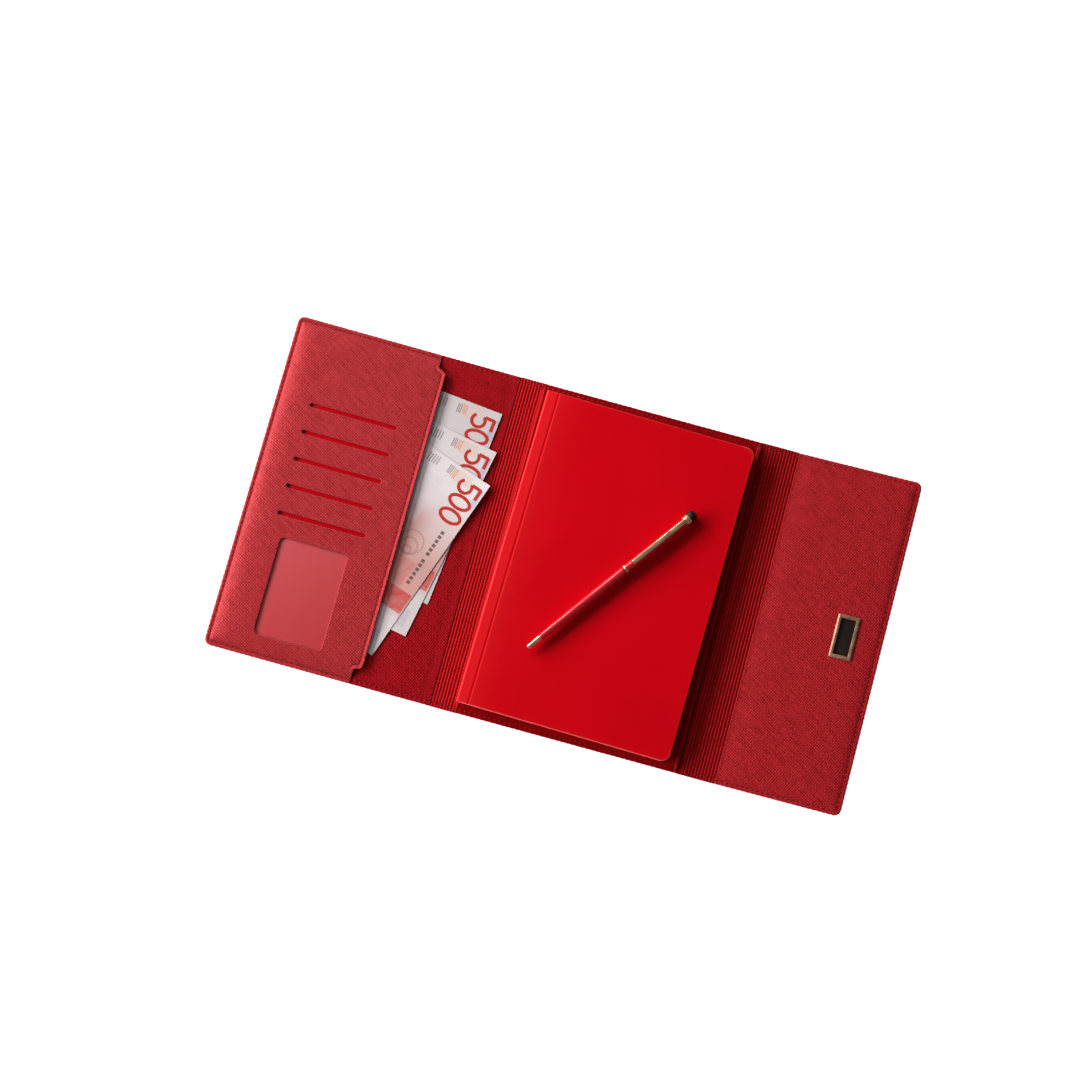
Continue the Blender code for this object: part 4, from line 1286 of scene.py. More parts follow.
THREAD_R = 0.27
STITCH_LIFT = np.array([-0.42, -0.05, 0.10, 0.15, 0.10, -0.05, -0.42])   # off the leather
STITCH_GIRTH = np.array([0.62, 0.95, 1.04, 1.06, 1.04, 0.95, 0.62])      # share of THREAD_R
STITCH_GAP = 0.33                 # from a stitch's end to half way between two stitches
STITCH_SKEW = 0.10                # how far a stitch's ends stand off the sewing line
SIDES = ((1, upper), (-1, underside))


def sewn(name, seams, place=lay):
    """Stitches with their ends drawn into needle holes. A seam is the x, y of one end and of
    the other, its side (+1 upper, -1 underside) and the height function of that side."""
    parts, face_mats = [], []
    corners = [TAU * j / 6 for j in range(6)]
    around = np.linspace(0, TAU, 9)[:-1]
    for x0, y0, x1, y1, side, height in seams:
        length = math.hypot(x1 - x0, y1 - y0)
        along_x, along_y = (x1 - x0) / length, (y1 - y0) / length
        share = np.linspace(0, 1, len(STITCH_LIFT))
        xs, ys = x0 + (x1 - x0) * share, y0 + (y1 - y0) * share
        zs = height(xs, ys) + side * STITCH_LIFT
        stitch = loft([[(x - along_y * radius * math.cos(a), y + along_x * radius * math.cos(a),
                         z + radius * 0.86 * math.sin(a)) for a in corners]
                       for x, y, z, radius in zip(xs, ys, zs, THREAD_R * STITCH_GIRTH)])
        parts.append(stitch)
        face_mats += [0] * len(stitch[1])
        # a flat disc of painted shade at each end stands for the needle hole
        for x, y in ((x0 - along_x * 0.10, y0 - along_y * 0.10),
                     (x1 + along_x * 0.10, y1 + along_y * 0.10)):
            hole_x = x + along_x * 0.34 * np.cos(around) - along_y * 0.25 * np.sin(around)
            hole_y = y + along_y * 0.34 * np.cos(around) + along_x * 0.25 * np.sin(around)
            hole_z = height(hole_x, hole_y) + side * 0.035
            face = range(8) if side > 0 else range(7, -1, -1)
            parts.append((np.column_stack([hole_x, hole_y, hole_z]), [face]))
            face_mats.append(1)
    return make(name, *join(parts), [THREAD, HOLE_SHADE], place, 60, face_mats)


def edge_seams(x0, x1):
    """The stitches of the rim's sewing line whose middles lie between x0 and x1."""
    seams = []
    seam_y = HALF_Y - SEAM
    left, right = LEFT_X + SEAM, RIGHT_X - SEAM
    corner = CORNER_R - SEAM
    first = math.ceil((left + corner) / STITCH_PITCH) * STITCH_PITCH
    count = int((right - corner - first) / STITCH_PITCH)
    for k in range(count):
        start, end = first + k * STITCH_PITCH, first + (k + 1) * STITCH_PITCH
        if not x0 <= (start + end) / 2 < x1:
            continue
        for sign in (1, -1):
            for side, height in SIDES:
                skew = STITCH_SKEW * side
                seams.append((start + STITCH_GAP, sign * (seam_y + skew),
                              end - STITCH_GAP, sign * (seam_y - skew), side, height))
    ends = []
    if x0 <= left < x1:
        ends.append((left, first, -1))
    if x0 < right <= x1 + 1:
        ends.append((right, first + count * STITCH_PITCH, 1))
    rows = int((2 * seam_y - 2 * corner) / STITCH_PITCH)
    first_y = -rows * STITCH_PITCH / 2
    for x, last_x, end_sign in ends:
        for side, height in SIDES:
            skew = STITCH_SKEW * side
            for k in range(rows):
                start, end = first_y + k * STITCH_PITCH, first_y + (k + 1) * STITCH_PITCH
                seams.append((x + skew, start + STITCH_GAP, x - skew, end - STITCH_GAP,
                              side, height))
            for sign in (1, -1):  # round the corner
                from_end = np.array([x, sign * -first_y])
                from_side = np.array([last_x, sign * seam_y])
                middle = (from_end + from_side) / 2 + np.array([end_sign, sign]) * 0.35
                for start, end in ((from_end, middle), (middle, from_side)):
                    length = np.linalg.norm(end - start)
                    if length > 1.2:
                        trim = (end - start) / length * 0.25
                        seams.append((*(start + trim), *(end - trim), side, height))
    return seams


SEWING_ENDS = (LEFT_X - 1, -90.2, 0.0, 86.3, RIGHT_X + 1)
for k, ((part, _), crease) in enumerate(zip(STRETCHES, CREASES)):
    stitches = sewn("sewing_" + part, edge_seams(SEWING_ENDS[k], SEWING_ENDS[k + 1]))
    bend(stitches, crease)

lip_x = POCKET_LIP - 2.38
lip_count = int(2 * (LIP_HALF_Y - 2.6) / STITCH_PITCH)
lip_ys = [-lip_count * STITCH_PITCH / 2 + k * STITCH_PITCH for k in range(lip_count + 1)]
lip_seams = [(lip_x + STITCH_SKEW, start + STITCH_GAP, lip_x - STITCH_SKEW, end - STITCH_GAP, 1,
              pocket_top) for start, end in zip(lip_ys, lip_ys[1:])]
attach(sewn("pocket_lip_sewing", lip_seams, place=on_left), "left_panel")

# ------------------------------------------------------------------ notes: a plain generic print
# u runs across a note and v along it, both from its middle
NOTE_HALF_U, NOTE_HALF_V = 35.0, 66.5
# tinted blocks: (u, u, v, v), colour, amount, softness of their edges
NOTE_BLOCKS = (((-40, 34.2, -35, -21), (204, 52, 44), 1.0, 0.4),
               ((10, 25, -20, -2), (206, 92, 80), 0.60, 1.2),
               ((24, 34, -20, -9), (224, 150, 136), 0.5, 0.8),
               ((30.5, 34.4, 46, 61), (158, 150, 190), 0.6, 0.8),
               ((12, 24, 56, 64.5), (226, 186, 172), 0.55, 0.8),
               ((24, 31, -62, -50), (168, 156, 190), 0.45, 1.0),
               ((10, 24, -58, -40), (224, 178, 150), 0.55, 1.0),
               ((-6, 8, 20, 52), (214, 200, 206), 0.5, 2.0))
# groups of small bars: first u, count, pitch, bar width, colour, amount, length
NOTE_BARS = ((-9.0, 5, 1.75, 0.62, (84, 70, 76), 0.75, 6.0),
             (6.2, 3, 1.15, 0.66, (96, 80, 86), 0.7, 6.2),
             (9.8, 3, 1.15, 0.66, (224, 134, 80), 0.9, 6.6))


def note_print(name, tone, seed):
    """Abstract tints and fine wave lines on fibrous paper, with painted shadow from the shade
    attribute.
    """
    mat = Shader(name)
    flat = mat.flat()
    separate = mat.node("SeparateXYZ", [(0, flat)])
    u, v = Value(mat, separate.outputs[0]), Value(mat, separate.outputs[1])

    def step(value, at, soft):
        return mat.value("MapRange", [(0, value), (1, at - soft), (2, at + soft)],
                         interpolation_type="SMOOTHSTEP")

    def band(value, low, high, soft):
        return (step(value, low, soft) - step(value, high, soft)).clamped()

    def block(u0, u1, v0, v1, soft):
        return band(u, u0, u1, soft) * band(v, v0, v1, soft)

    def lines(across_u, across_v, pitch, swing, wave):
        bow = (mat.dot(flat, (across_v, -across_u, 0)) * (TAU / wave)).sine() * swing
        phase = mat.dot(flat, (across_u, across_v, 0)) + bow
        return mat.ramp((phase * (TAU / pitch)).sine() * 0.5 + 0.5, (0.45, 0.0), (0.8, 1.0))

    fibre = mat.noise(mat.stretch(flat, (1.0, 1.6, 1.0)), scale=1.1, detail=4.0, rough=0.7)
    colour = mat.mix(fibre, rgb(*(level * tone for level in (206, 198, 198))),
                     rgb(*(min(255, level * tone) for level in (234, 228, 228))))
    fine = (lines(0.94, 0.34, pitch=1.5, swing=1.3, wave=23.0)
            + lines(-0.5, 0.87, pitch=1.7, swing=1.7, wave=31.0)) * 0.5
    fade = mat.ramp((v + NOTE_HALF_V) * (1 / 133), (0.20, 0.12), (0.30, 1.0), (0.50, 0.95),
                    (0.70, 0.42), (0.86, 0.04))
    wash = mat.mix(mat.noise(flat, scale=0.06), rgb(212, 148, 132), rgb(194, 122, 110))
    colour = mat.mix(fade * 0.85, colour, wash)
    warm = band(u, -60, 15, soft=8.0) * band(v, -22, 30, soft=9.0)
    colour = mat.mix(warm * 0.62, colour, rgb(182, 108, 88))
    ink_patch = mat.ramp(mat.noise(flat, scale=0.035), (0.4, 0.0), (0.62, 1.0))
    line_ink = mat.mix(ink_patch, rgb(186, 116, 112), rgb(150, 136, 158))
    colour = mat.mix(fine * (fade * 0.22 + 0.08), colour, line_ink)
    cells = mat.value("TexVoronoi", [("Vector", mat.stretch(flat, (0.22, 0.30, 1.0))),
                                     ("Scale", 1.0)], "Color",
                      feature="F1", distance="CHEBYCHEV")
    tile = mat.dot(cells, (0.5, 0.5, 0.0)) * 1.0
    for box, tint, amount, soft in NOTE_BLOCKS:
        mask = block(*box, soft) * (tile * 0.55 + 0.55).clamped()
        colour = mat.mix(mask * amount, colour, rgb(*tint))
    rng = np.random.default_rng(seed)
    for first, count, pitch, width, tint, amount, length in NOTE_BARS:
        for k in range(count):
            start = first + k * pitch
            top = 64.6 - float(rng.uniform(0, 1.2))
            bar = block(start, start + width, top - length, top, soft=0.10)
            colour = mat.mix(bar * amount, colour, rgb(*tint))
    for k in range(3):  # circular rings, each smaller and nearer -v
        distance = mat.value("VectorMath", [(0, flat), (1, (14, 8 - 3 * k, 0))], "Value",
                             operation="DISTANCE")
        radius = 8.5 - 2.1 * k
        ring = band(distance, radius - 0.5, radius + 0.5, soft=0.25)
        colour = mat.mix(ring * 0.4, colour, rgb(150, 84, 84))
    for k in range(12):  # a row of plain dashes in dark ink, with a gap half way
        top = 25 - k * 3.3 - (2.2 if k > 5 else 0)
        dash = block(25.9, 28.3, top - 2.2, top, soft=0.12)
        colour = mat.mix(dash * 0.85, colour, rgb(62, 38, 40))
    worn = mat.noise(flat, scale=0.16, detail=3.0, rough=0.6)
    colour = mat.mix(worn * 0.22, colour, rgb(190, 178, 176))
    # painted shadow where the shade attribute is below 0
    colour = mat.mix((mat.shade() * -1.0).clamped(), colour, rgb(70, 42, 40))
    return mat.surface(colour, rough=0.78, specular=0.2,
                       normal=mat.bump(fibre + fine * 0.3, depth=0.00002, strength=0.5))


def numeral_ink():
    mat = Shader("note_numeral_ink")
    grain = mat.noise(mat.flat(), scale=2.4, detail=3.0)
    colour = rgb(166, 40, 30)
    return mat.surface(mat.mix(grain, colour, scaled(colour, 1.6)), rough=0.6,
                       normal=mat.bump(grain, depth=0.00001, strength=0.4), specular=0.25)


NOTE_INK = numeral_ink()


def strokes(paths, width):
    """Flat bands along polylines."""
    parts = []
    for path in paths:
        points = np.array(path, float)
        tangent = np.gradient(points, axis=0)
        tangent /= np.linalg.norm(tangent, axis=1)[:, None]
        half = np.column_stack([-tangent[:, 1], tangent[:, 0]]) * width / 2
        count = len(points)
        parts.append((np.concatenate([points + half, points - half]),
                      [(i + count, i + 1 + count, i + 1, i) for i in range(count - 1)]))
    return join(parts)


def numeral(u, v, height):
    """A plain 500 in simple strokes, reading down the note's long side."""
    scale = height / 10
    five = [[(0.2, 10), (2.2, 10), (4.2, 10), (5.6, 10)],
            [(0.55, 10.2), (0.5, 8.6), (0.45, 7.0), (0.42, 5.6)],
            [(0.42, 5.6)] + [(2.7 + 2.9 * math.cos(a), 3.2 + 3.0 * math.sin(a))
                             for a in np.linspace(2.25, -2.5, 18)]]
    zeros = [[(middle + 2.75 * math.cos(a), 5.1 + 4.9 * math.sin(a))
              for a in np.linspace(0, TAU, 29)] for middle in (9.9, 17.3)]
    verts, faces = strokes([[(x * scale, y * scale) for x, y in path] for path in five + zeros],
                           1.5 * scale)
    return u + verts[:, 1], v - verts[:, 0], faces


def note(body, note_x, note_y, lean, rest_z, lift, tone, seed):
    def on_wallet(points):
        return set_down(points, note_x, note_y, math.radians(-lean))

    def height(u, v):
        x, y, _ = on_wallet(np.column_stack([u, v, np.zeros(len(u))])).T
        free = np.clip((x - POCKET_LIP - 6.5) / 34, 0, 1.2)
        bow = free ** 1.7 * (1 + 0.25 * np.sin(y / 21.0 + 1.0))
        bow = bow + 0.03 * smooth01(free * 4) * np.sin(y / 8.5 + 0.4 * np.sin(x / 9))
        corner = np.clip((u + v * 0.45 - 46) / 20, 0, 1) ** 2
        return rest_z + lift * (bow + 0.55 * corner)

    def place(points):
        return on_left(on_wallet(points))

    columns, rows = 36, 67
    u, v = (grid.ravel() for grid in np.meshgrid(
        np.linspace(-NOTE_HALF_U, NOTE_HALF_U, columns),
        np.linspace(-NOTE_HALF_V, NOTE_HALF_V, rows)))
    rim = (np.abs(u) > NOTE_HALF_U - 0.1) | (np.abs(v) > NOTE_HALF_V - 0.1)
    fray = 0.05 * ripple(u, v, 3.0, seed) * rim
    lower_verts = np.column_stack([u + fray, v + fray, height(u, v)])
    upper_verts = lower_verts + (0, 0, 0.11)
    x = on_wallet(np.column_stack([u, v, np.zeros(len(u))]))[:, 0]
    # painted shadow of the pocket's lip on the note's upper side, fading away from the mouth
    dark = -0.25 * np.exp(-np.clip(x - POCKET_LIP, 0, None) / 1.2)
    node = "bank" + body
    paper = make(node + "_paper", np.concatenate([upper_verts, lower_verts]),
                 slab_faces(columns, rows), note_print(node + "_print", tone, seed), place, 50,
                 shade=np.concatenate([dark, dark * 0]), slot="banknote_paper")
    attach(paper, body, node)
    ink_u, ink_v, faces = numeral(17.4, 61.0, height=14.6)
    verts = np.column_stack([ink_u, ink_v, height(ink_u, ink_v) + 0.135])
    attach(make(node + "_numeral", verts, faces, NOTE_INK, place, None), body)


# body, x, y, lean in degrees, resting z, lift of the free end, paper tone, seed
for row in (("note_back", -137.1, 20.9, 5.7, 2.62, 0.28, 0.95, 61),
            ("note_middle", -139.2, -0.6, 10.7, 2.86, 0.50, 1.0, 62),
            ("note_front", -145.6, -15.6, 19.1, 3.10, 0.95, 1.04, 63)):
    note(*row)

# ------------------------------------------------------------------ notebook
BOOK_HALF_Y, BOOK_RIGHT, BOOK_CORNER = 105, 70, 6
# (x, z) over the hinge beside the spine and on across the cover
COVER_TOP = [(-68.3, 9.14), (-66.5, 9.27), (-64.5, 9.41), (-63.5, 9.48), (-63.0, 9.48),
             (-62.65, 9.42), (-62.3, 9.38), (-62.0, 9.42), (-61.7, 9.51), (-61.35, 9.57),
             (-60.8, 9.58), (-59.5, 9.58), (-57, 9.58), (70, 9.60)]
COVER_UNDER = [(-68.3, 9.05), (-66, 9.06), (-63.6, 9.06), (-62.3, 9.04), (-61.2, 9.08),
               (-60.4, 9.15), (70, 9.15)]
COVER_COLUMNS = np.concatenate([
    [-68.3, -68.15, -67.5, -66.5, -65.3, -64.4, -63.9, -63.5, -63.2, -62.95, -62.75, -62.55,
     -62.35, -62.15, -62.0, -61.85, -61.7, -61.55, -61.4, -61.2, -61.0, -60.7, -60.2, -59.4,
     -58.0], np.linspace(-55, 63.5, 34),
    [64.0, 65.2, 66.3, 67.3, 68.1, 68.7, 69.15, 69.5, 69.75, 69.9, 70.0]])
COVER_ROWS = np.concatenate([[-1, -0.9985, -0.996], np.linspace(-0.99, 0.99, 57),
                             [0.996, 0.9985, 1]])   # share of the cover's half size along Y


def cover_shade(x, y, own):
    # painted highlight on the crease's right lip, painted shade in its groove, and a painted
    # highlight along the cover's edges
    shade = 0.24 * bell(x + 61.4, 0.4) - 0.20 * bell(x + 62.35, 0.4) + 0.5 * np.exp(-own / 0.25)
    # painted light: the strip beside the spine, which slopes towards the lamp, and a fading
    # highlight right of the crease
    shade = shade + 0.13 * (x < -62.8)
    shade = shade + 0.10 * np.exp(-np.maximum(x + 61.5, 0) / 9) * (x > -61.5)
    # a pale edge: the card's cut edge along -Y, and a painted highlight round the +X, +Y corner
    worn = np.maximum((y < -99.5) * 1.0, (x > 60) * (y > 96) * 0.8)
    return np.clip(shade + 1.3 * worn * bell(own, 0.30), -1, 2)


def front_cover():
    reach = np.where(COVER_COLUMNS > 64,
                     99 + np.sqrt(np.maximum(36 - (COVER_COLUMNS - 64) ** 2, 0)), 105.0)
    x = np.repeat(COVER_COLUMNS[None, :], len(COVER_ROWS), 0).ravel()
    y = (COVER_ROWS[:, None] * reach[None, :]).ravel()
    # the rectangle runs on to -X, so that own leaves out the hinge side
    own = edge_distance(np.column_stack([x, y]), [
        rectangle(-90, BOOK_RIGHT, -BOOK_HALF_Y, BOOK_HALF_Y, 0, BOOK_CORNER)])
    top = curve(x, COVER_TOP) + 0.02 * ripple(x, y, 60, 81) * smooth01((x + 58) / 10)
    top = top - rounded(own, 0.32, 0.20) * (x > -68)
    under = curve(x, COVER_UNDER) + rounded(own, 0.2, 0.08) * (x > -68)
    verts = np.concatenate([np.column_stack([x, y, top]), np.column_stack([x, y, under])])
    ob = make("notebook_cover_front", verts, slab_faces(len(COVER_COLUMNS), len(COVER_ROWS)),
              [COVER, ENDPAPER], on_book, slot="notebook_cover",
              shade=np.concatenate([cover_shade(x, y, own), np.zeros(len(x))]))
    for poly in ob.data.polygons:  # a pale endpaper inside the cover
        if poly.normal.z < -0.9:
            middle = verts[list(poly.vertices)].mean(0)
            if -60.2 < middle[0] < 68.8 and abs(middle[1]) < 103.8 and middle[2] < 9.3:
                poly.material_index = 1
    start, end = on_book([(-63.5, 0, 9.7)])[0], on_book([(-61.1, 0, 9.7)])[0]
    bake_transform(ob)
    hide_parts("notebook_front_cover", "notebook_spine")


def spine_shape(points, y):
    """Draws the wrap in a hair at its ends."""
    end = max(0.0, 1 - (BOOK_HALF_Y - abs(y)) / 0.5)
    return points + (np.array([-69.6, 6.5]) - points) * 0.03 * end


def spine_wrap():
    section = [(-69.45, 3.50), (-69.85, 3.55), (-70, 3.8), (-70.0, 5.6), (-70.0, 7.3)]
    section += [(-68.3 + 1.7 * math.cos(angle), 7.44 + 1.7 * math.sin(angle))
                for angle in np.radians(np.linspace(180, 90, 9))]
    section += [(-68.3, 9.05), (-69.0, 8.6), (-69.45, 7.9), (-69.5, 5.6)]
    ys = np.concatenate([[-105, -104.9], np.linspace(-104.5, 104.5, 43), [104.9, 105]])
    # the shade lambda paints a highlight along the wrap's rounded edge beside the spine
    ob = strip("notebook_spine_wrap", section, ys, COVER, spine_shape,
               lambda verts: 0.55 * bell(verts[:, 0] + 69.6, 0.5) * (verts[:, 2] > 7.9),
               place=on_book, smooth=50, slot="notebook_cover")
    attach(ob, "notebook", "notebook_spine")


def back_cover():
    ob = sheet("notebook_cover_back",
               rectangle(-69.3, BOOK_RIGHT, -BOOK_HALF_Y, BOOK_HALF_Y, 0, BOOK_CORNER), COVER,
               lambda x, y, own: 3.95 - rounded(own, 0.2, 0.12),
               lambda x, y, own: 3.50 + 0.015 * ripple(x, y, 60, 83) + rounded(own, 0.25, 0.15),
               place=on_book, rings=[(0.12, 1), (0.3, 1), (1.5, 2)], step=2.5, grid=9.0,
               scallop=False, slot="notebook_cover")
    attach(ob, "notebook", "notebook_back_cover")


def page_block():
    """Thin leaves, each cut a hair longer or shorter than the next."""
    outline = resample(anticlockwise(rectangle(-69.3, 69.2, -104.3, 104.3, 0, 5.6)), 2.4)
    outward = outline / np.linalg.norm(outline, axis=1)[:, None]
    levels = np.linspace(4.10, 9.00, 50)
    rng = np.random.default_rng(5)
    rows = []
    for k, z in enumerate(levels):
        growth = 0.0 if k in (0, len(levels) - 1) else float(rng.uniform(-0.22, 0.02))
        wave = 0.03 * np.sin(outline[:, 1] * 0.06 + k * 0.4)
        leaf = outline + outward * (growth + wave[:, None]) * (outline[:, :1] > -69.0)
        # the leaves' bound ends follow the rounded spine
        back = -69.25 if z < 7.44 else -68.3 - math.sqrt(max(0.0, 1.3 ** 2 - (z - 7.44) ** 2))
        leaf[:, 0] = np.maximum(leaf[:, 0], back)
        rows.append(np.column_stack([leaf, np.full(len(outline), z)]))
    verts, faces = loft(rows)
    ob = make("notebook_page_block", verts, faces, [PAGES, LEAF], on_book, 20,
              face_mats=[0] * (len(faces) - 2) + [1, 1], slot="notebook_paper")
    attach(ob, "notebook", "notebook_pages")


front_cover()
spine_wrap()
back_cover()
page_block()


# ------------------------------------------------------------------ pen
# drawn along its own length from the tip, which is at 0; profiles are (distance from the tip,
# radius), out along the outside and back inside
def turned_piece(name, profile, mat, body, node, slot, smooth=35):
    rows = []
    for k in range(64):
        cos, sin = math.cos(TAU * k / 64), math.sin(TAU * k / 64)
        rows.append([(along, radius * cos, radius * sin) for along, radius in profile])
    ob = make_solid(name, *loft(rows, closed=True, capped=False), mat, on_pen, smooth, slot=slot)
    attach(ob, body, node)


def taper(knots, start, end, count):
    stations = np.linspace(start, end, count)
    return list(zip(stations.tolist(), curve(stations, knots).tolist()))


AXIS_R = 0.0001   # stands for the pen's axis
turned_piece("pen_nose", [
    (0.0, 0.60), (0.0, 1.02), (0.08, 1.16), (0.25, 1.28),
    *taper([(0.5, 1.33), (5, 1.62), (8.6, 1.84), (9.9, 1.92)], 0.5, 9.9, 12),
    (10.1, 1.86), (10.1, 1.42), (14.5, 1.42), (14.5, 1.28), (4.6, 1.28), (1.8, 0.60)],
    GOLD, "pen_barrel", "pen_nose_cone", "pen_gold")
turned_piece("pen_barrel_lower", [
    (10.4, 1.60), (10.4, 1.86), (10.55, 1.94),
    *taper([(10.7, 1.96), (24, 2.30), (45, 2.58), (79.1, 2.70)], 10.7, 79.1, 34),
    (79.3, 2.62), (79.3, 1.60)], LACQUER, "pen_barrel", "pen_lower_barrel", "pen_lacquer")
turned_piece("pen_ring", [
    (79.6, 1.62), (79.6, 2.78), (79.68, 2.95), (79.85, 3.06), (80.1, 3.10), (80.22, 3.02),
    (80.38, 3.02), (80.5, 3.10), (80.75, 3.06), (80.92, 2.95), (81.0, 2.78), (81.0, 1.62)],
    GOLD, "pen", "pen_centre_ring", "pen_gold")
turned_piece("pen_barrel_upper", [
    (81.3, 1.80), (81.3, 2.60), (81.5, 2.70),
    *taper([(81.7, 2.71), (100, 2.66), (128.0, 2.55)], 81.7, 128.0, 24),
    (128.2, 2.46), (128.2, 1.80)], LACQUER, "pen", "pen_upper_barrel", "pen_lacquer")
turned_piece("pen_cap_ferrule", [
    (122.0, AXIS_R), (122.0, 1.62), (129.2, 1.62), (129.2, 2.93), (129.3, 3.08), (129.5, 3.15),
    (130.1, 3.15), (130.2, 3.06), (130.4, 3.06), (130.5, 3.15), (132.6, 3.15), (132.95, 3.11),
    (133.1, 3.03), (133.2, 2.87), (133.2, AXIS_R)], GOLD, "pen", "pen_ferrule", "pen_gold")
turned_piece("pen_stylus_dome", [
    (133.45, AXIS_R), (133.45, 2.90), (133.6, 3.20), (133.95, 3.40), (134.4, 3.48),
    *[(134.9 + 3.4 * math.sin(angle), 3.50 * math.cos(angle) ** 0.9)
      for angle in np.radians(np.linspace(0, 88, 14))],
    (138.3, AXIS_R)], RUBBER, "pen", "pen_stylus_tip", "stylus_rubber", smooth=50)


def clip_ring():
    """The slip ring that holds the clip."""
    profile = [(128.4, 1.80), (128.4, 2.48), (128.5, 2.58), (128.9, 2.58), (129.0, 2.48),
               (129.0, 1.80)]
    count, segments = len(profile), 64
    verts, faces = [], []
    for k in range(segments):
        angle = TAU * k / segments
        verts += [(along, radius * math.cos(angle), radius * math.sin(angle))
                  for along, radius in profile]
        this, following = k * count, ((k + 1) % segments) * count
        faces += [(this + i, following + i, following + (i + 1) % count, this + (i + 1) % count)
                  for i in range(count)]
    return verts, faces


def clip_strap():
    """The long strap, with fine grip ridges near its free end."""
    # distance from the pen's tip, height over its axis, thickness
    stations = [(86.5, 2.98, 0.34), (86.62, 2.93, 0.42), (87.2, 2.90, 0.44), (88.4, 2.86, 0.44)]
    for k in range(17):
        start = 89.2 + k * 1.0
        lift = 2.92 + 0.11 * min(1.0, k / 4)
        stations += [(start, lift, 0.30), (start + 0.28, lift, 0.41),
                     (start + 0.62, lift, 0.41), (start + 0.86, lift, 0.30)]
    stations += [(107, 3.05, 0.36), (112, 3.05, 0.35), (120, 3.03, 0.35), (125, 3.0, 0.36),
                 (127.2, 2.92, 0.40), (128.3, 2.70, 0.62), (129.0, 2.45, 0.80)]
    corners = 10
    rows = []
    for along, z, thick in stations:
        half = 1.36 if along > 86.6 else 1.28
        row = []
        for k in range(corners):
            angle = TAU * (k + 0.5) / corners
            cos, sin = math.cos(angle), math.sin(angle)
            across = math.copysign(abs(cos) ** 0.35, cos) * half
            out = math.copysign(abs(sin) ** 0.45, sin) * thick / 2
            crown = 0.24 * (1 - (across / half) ** 2)
            row.append((along, across, z + thick / 2 + out + crown))
        rows.append(row)
    verts, faces = loft(rows, capped=False)
    last = (len(rows) - 1) * corners
    return verts, faces + [range(corners), range(last + corners - 1, last - 1, -1)]


clip = make_solid("pen_pocket_clip", *join([clip_ring(), clip_strap()]), GOLD, on_pen, 35,
                  slot="pen_gold")
attach(clip, "pen", "pen_clip")


# ------------------------------------------------------------------ clasp
def rounded_ring(width, height, radius, z):
    x, y = width / 2 - radius, height / 2 - radius
    return [(*point, z) for point in (
        arc(x, y, radius, 0, 90, 4) + arc(-x, y, radius, 90, 180, 4)
        + arc(-x, -y, radius, 180, 270, 4) + arc(x, -y, radius, 270, 360, 4))]


def clasp_part(name, table, mat, body, node, slot, closed=False):
    """A solid through rounded rings of (width, height, corner radius, z)."""
    verts, faces = loft([rounded_ring(*row) for row in table], closed=closed, capped=not closed)
    attach(make_solid(name, verts, faces, mat, on_clasp, 20, slot=slot), body, node)


OUTER_W, OUTER_H, INNER_W, INNER_H = 14.5, 28.6, 9.6, 23.6   # the frame's outside and opening
clasp_part("clasp_frame", (
    (OUTER_W, OUTER_H, 0.5, 2.84), (OUTER_W, OUTER_H, 0.5, 3.30),
    (OUTER_W - 0.16, OUTER_H - 0.16, 0.45, 3.46), (OUTER_W - 1.5, OUTER_H - 1.5, 0.3, 3.84),
    (OUTER_W - 1.75, OUTER_H - 1.75, 0.3, 3.90), (INNER_W + 1.0, INNER_H + 1.0, 0.25, 3.90),
    (INNER_W + 0.75, INNER_H + 0.75, 0.25, 3.86), (INNER_W + 0.1, INNER_H + 0.1, 0.2, 3.42),
    (INNER_W, INNER_H, 0.2, 3.30), (INNER_W, INNER_H, 0.2, 2.55),
    (INNER_W + 1.2, INNER_H + 1.2, 0.3, 2.55), (INNER_W + 1.2, INNER_H + 1.2, 0.3, 2.84)),
    BRONZE, "flap", "clasp_bezel", "clasp_bronze", closed=True)
clasp_part("clasp_magnet_block", (
    (9.9, 23.9, 0.4, 1.66), (9.9, 23.9, 0.4, 2.15), (9.5, 23.5, 0.4, 2.34),
    (9.1, 23.1, 0.4, 2.40)), MAGNET, "flap", "clasp_magnet", "magnet_black")


def striker_stud(y):
    around = np.linspace(0, TAU, 25)[:-1]
    return loft([[(radius * math.cos(a), y + radius * math.sin(a), z) for a in around]
                 for radius, z in ((1.45, -0.3), (1.45, 1.45), (1.15, 1.62))])


striker_block = loft([rounded_ring(*row) for row in (
    (7.3, 21.1, 0.5, -1.90), (7.9, 21.7, 0.6, -1.86), (8.7, 22.5, 0.7, -1.52),
    (9.0, 22.8, 0.7, -1.25), (9.0, 22.8, 0.7, -0.16))])
striker = make("clasp_striker_block", *join([striker_block, striker_stud(-7), striker_stud(7)]),
               BRONZE, on_striker, 20, slot="clasp_bronze")
attach(striker, "left_panel", "clasp_striker")

# ------------------------------------------------------------------ finishes of kept CAD nodes
for mat, nodes in ((BOARD, ("centre_board", "left_board", "flap_board")),
                   (STEEL, ("striker_washer", "clasp_backing_plate")),
                   (BRASS, ("pen_twist_mechanism", "pen_refill"))):
    for node in nodes:
        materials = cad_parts[node].data.materials
        materials.clear()
        materials.append(mat)


# ------------------------------------------------------------------ floor, lights, camera; metres
def floor_material():
    mat = Shader("pale_floor")
    cloud = mat.noise(mat.object_coords(), scale=6.0, detail=3.0)
    return mat.surface(mat.mix(cloud, rgb(246, 246, 247), rgb(250, 250, 250)), rough=0.9,
                       normal=mat.bump(cloud, depth=0.00002, strength=0.1), specular=0.05,
                       Emission_Color=(1.0, 1.0, 1.0, 1.0), Emission_Strength=0.90)


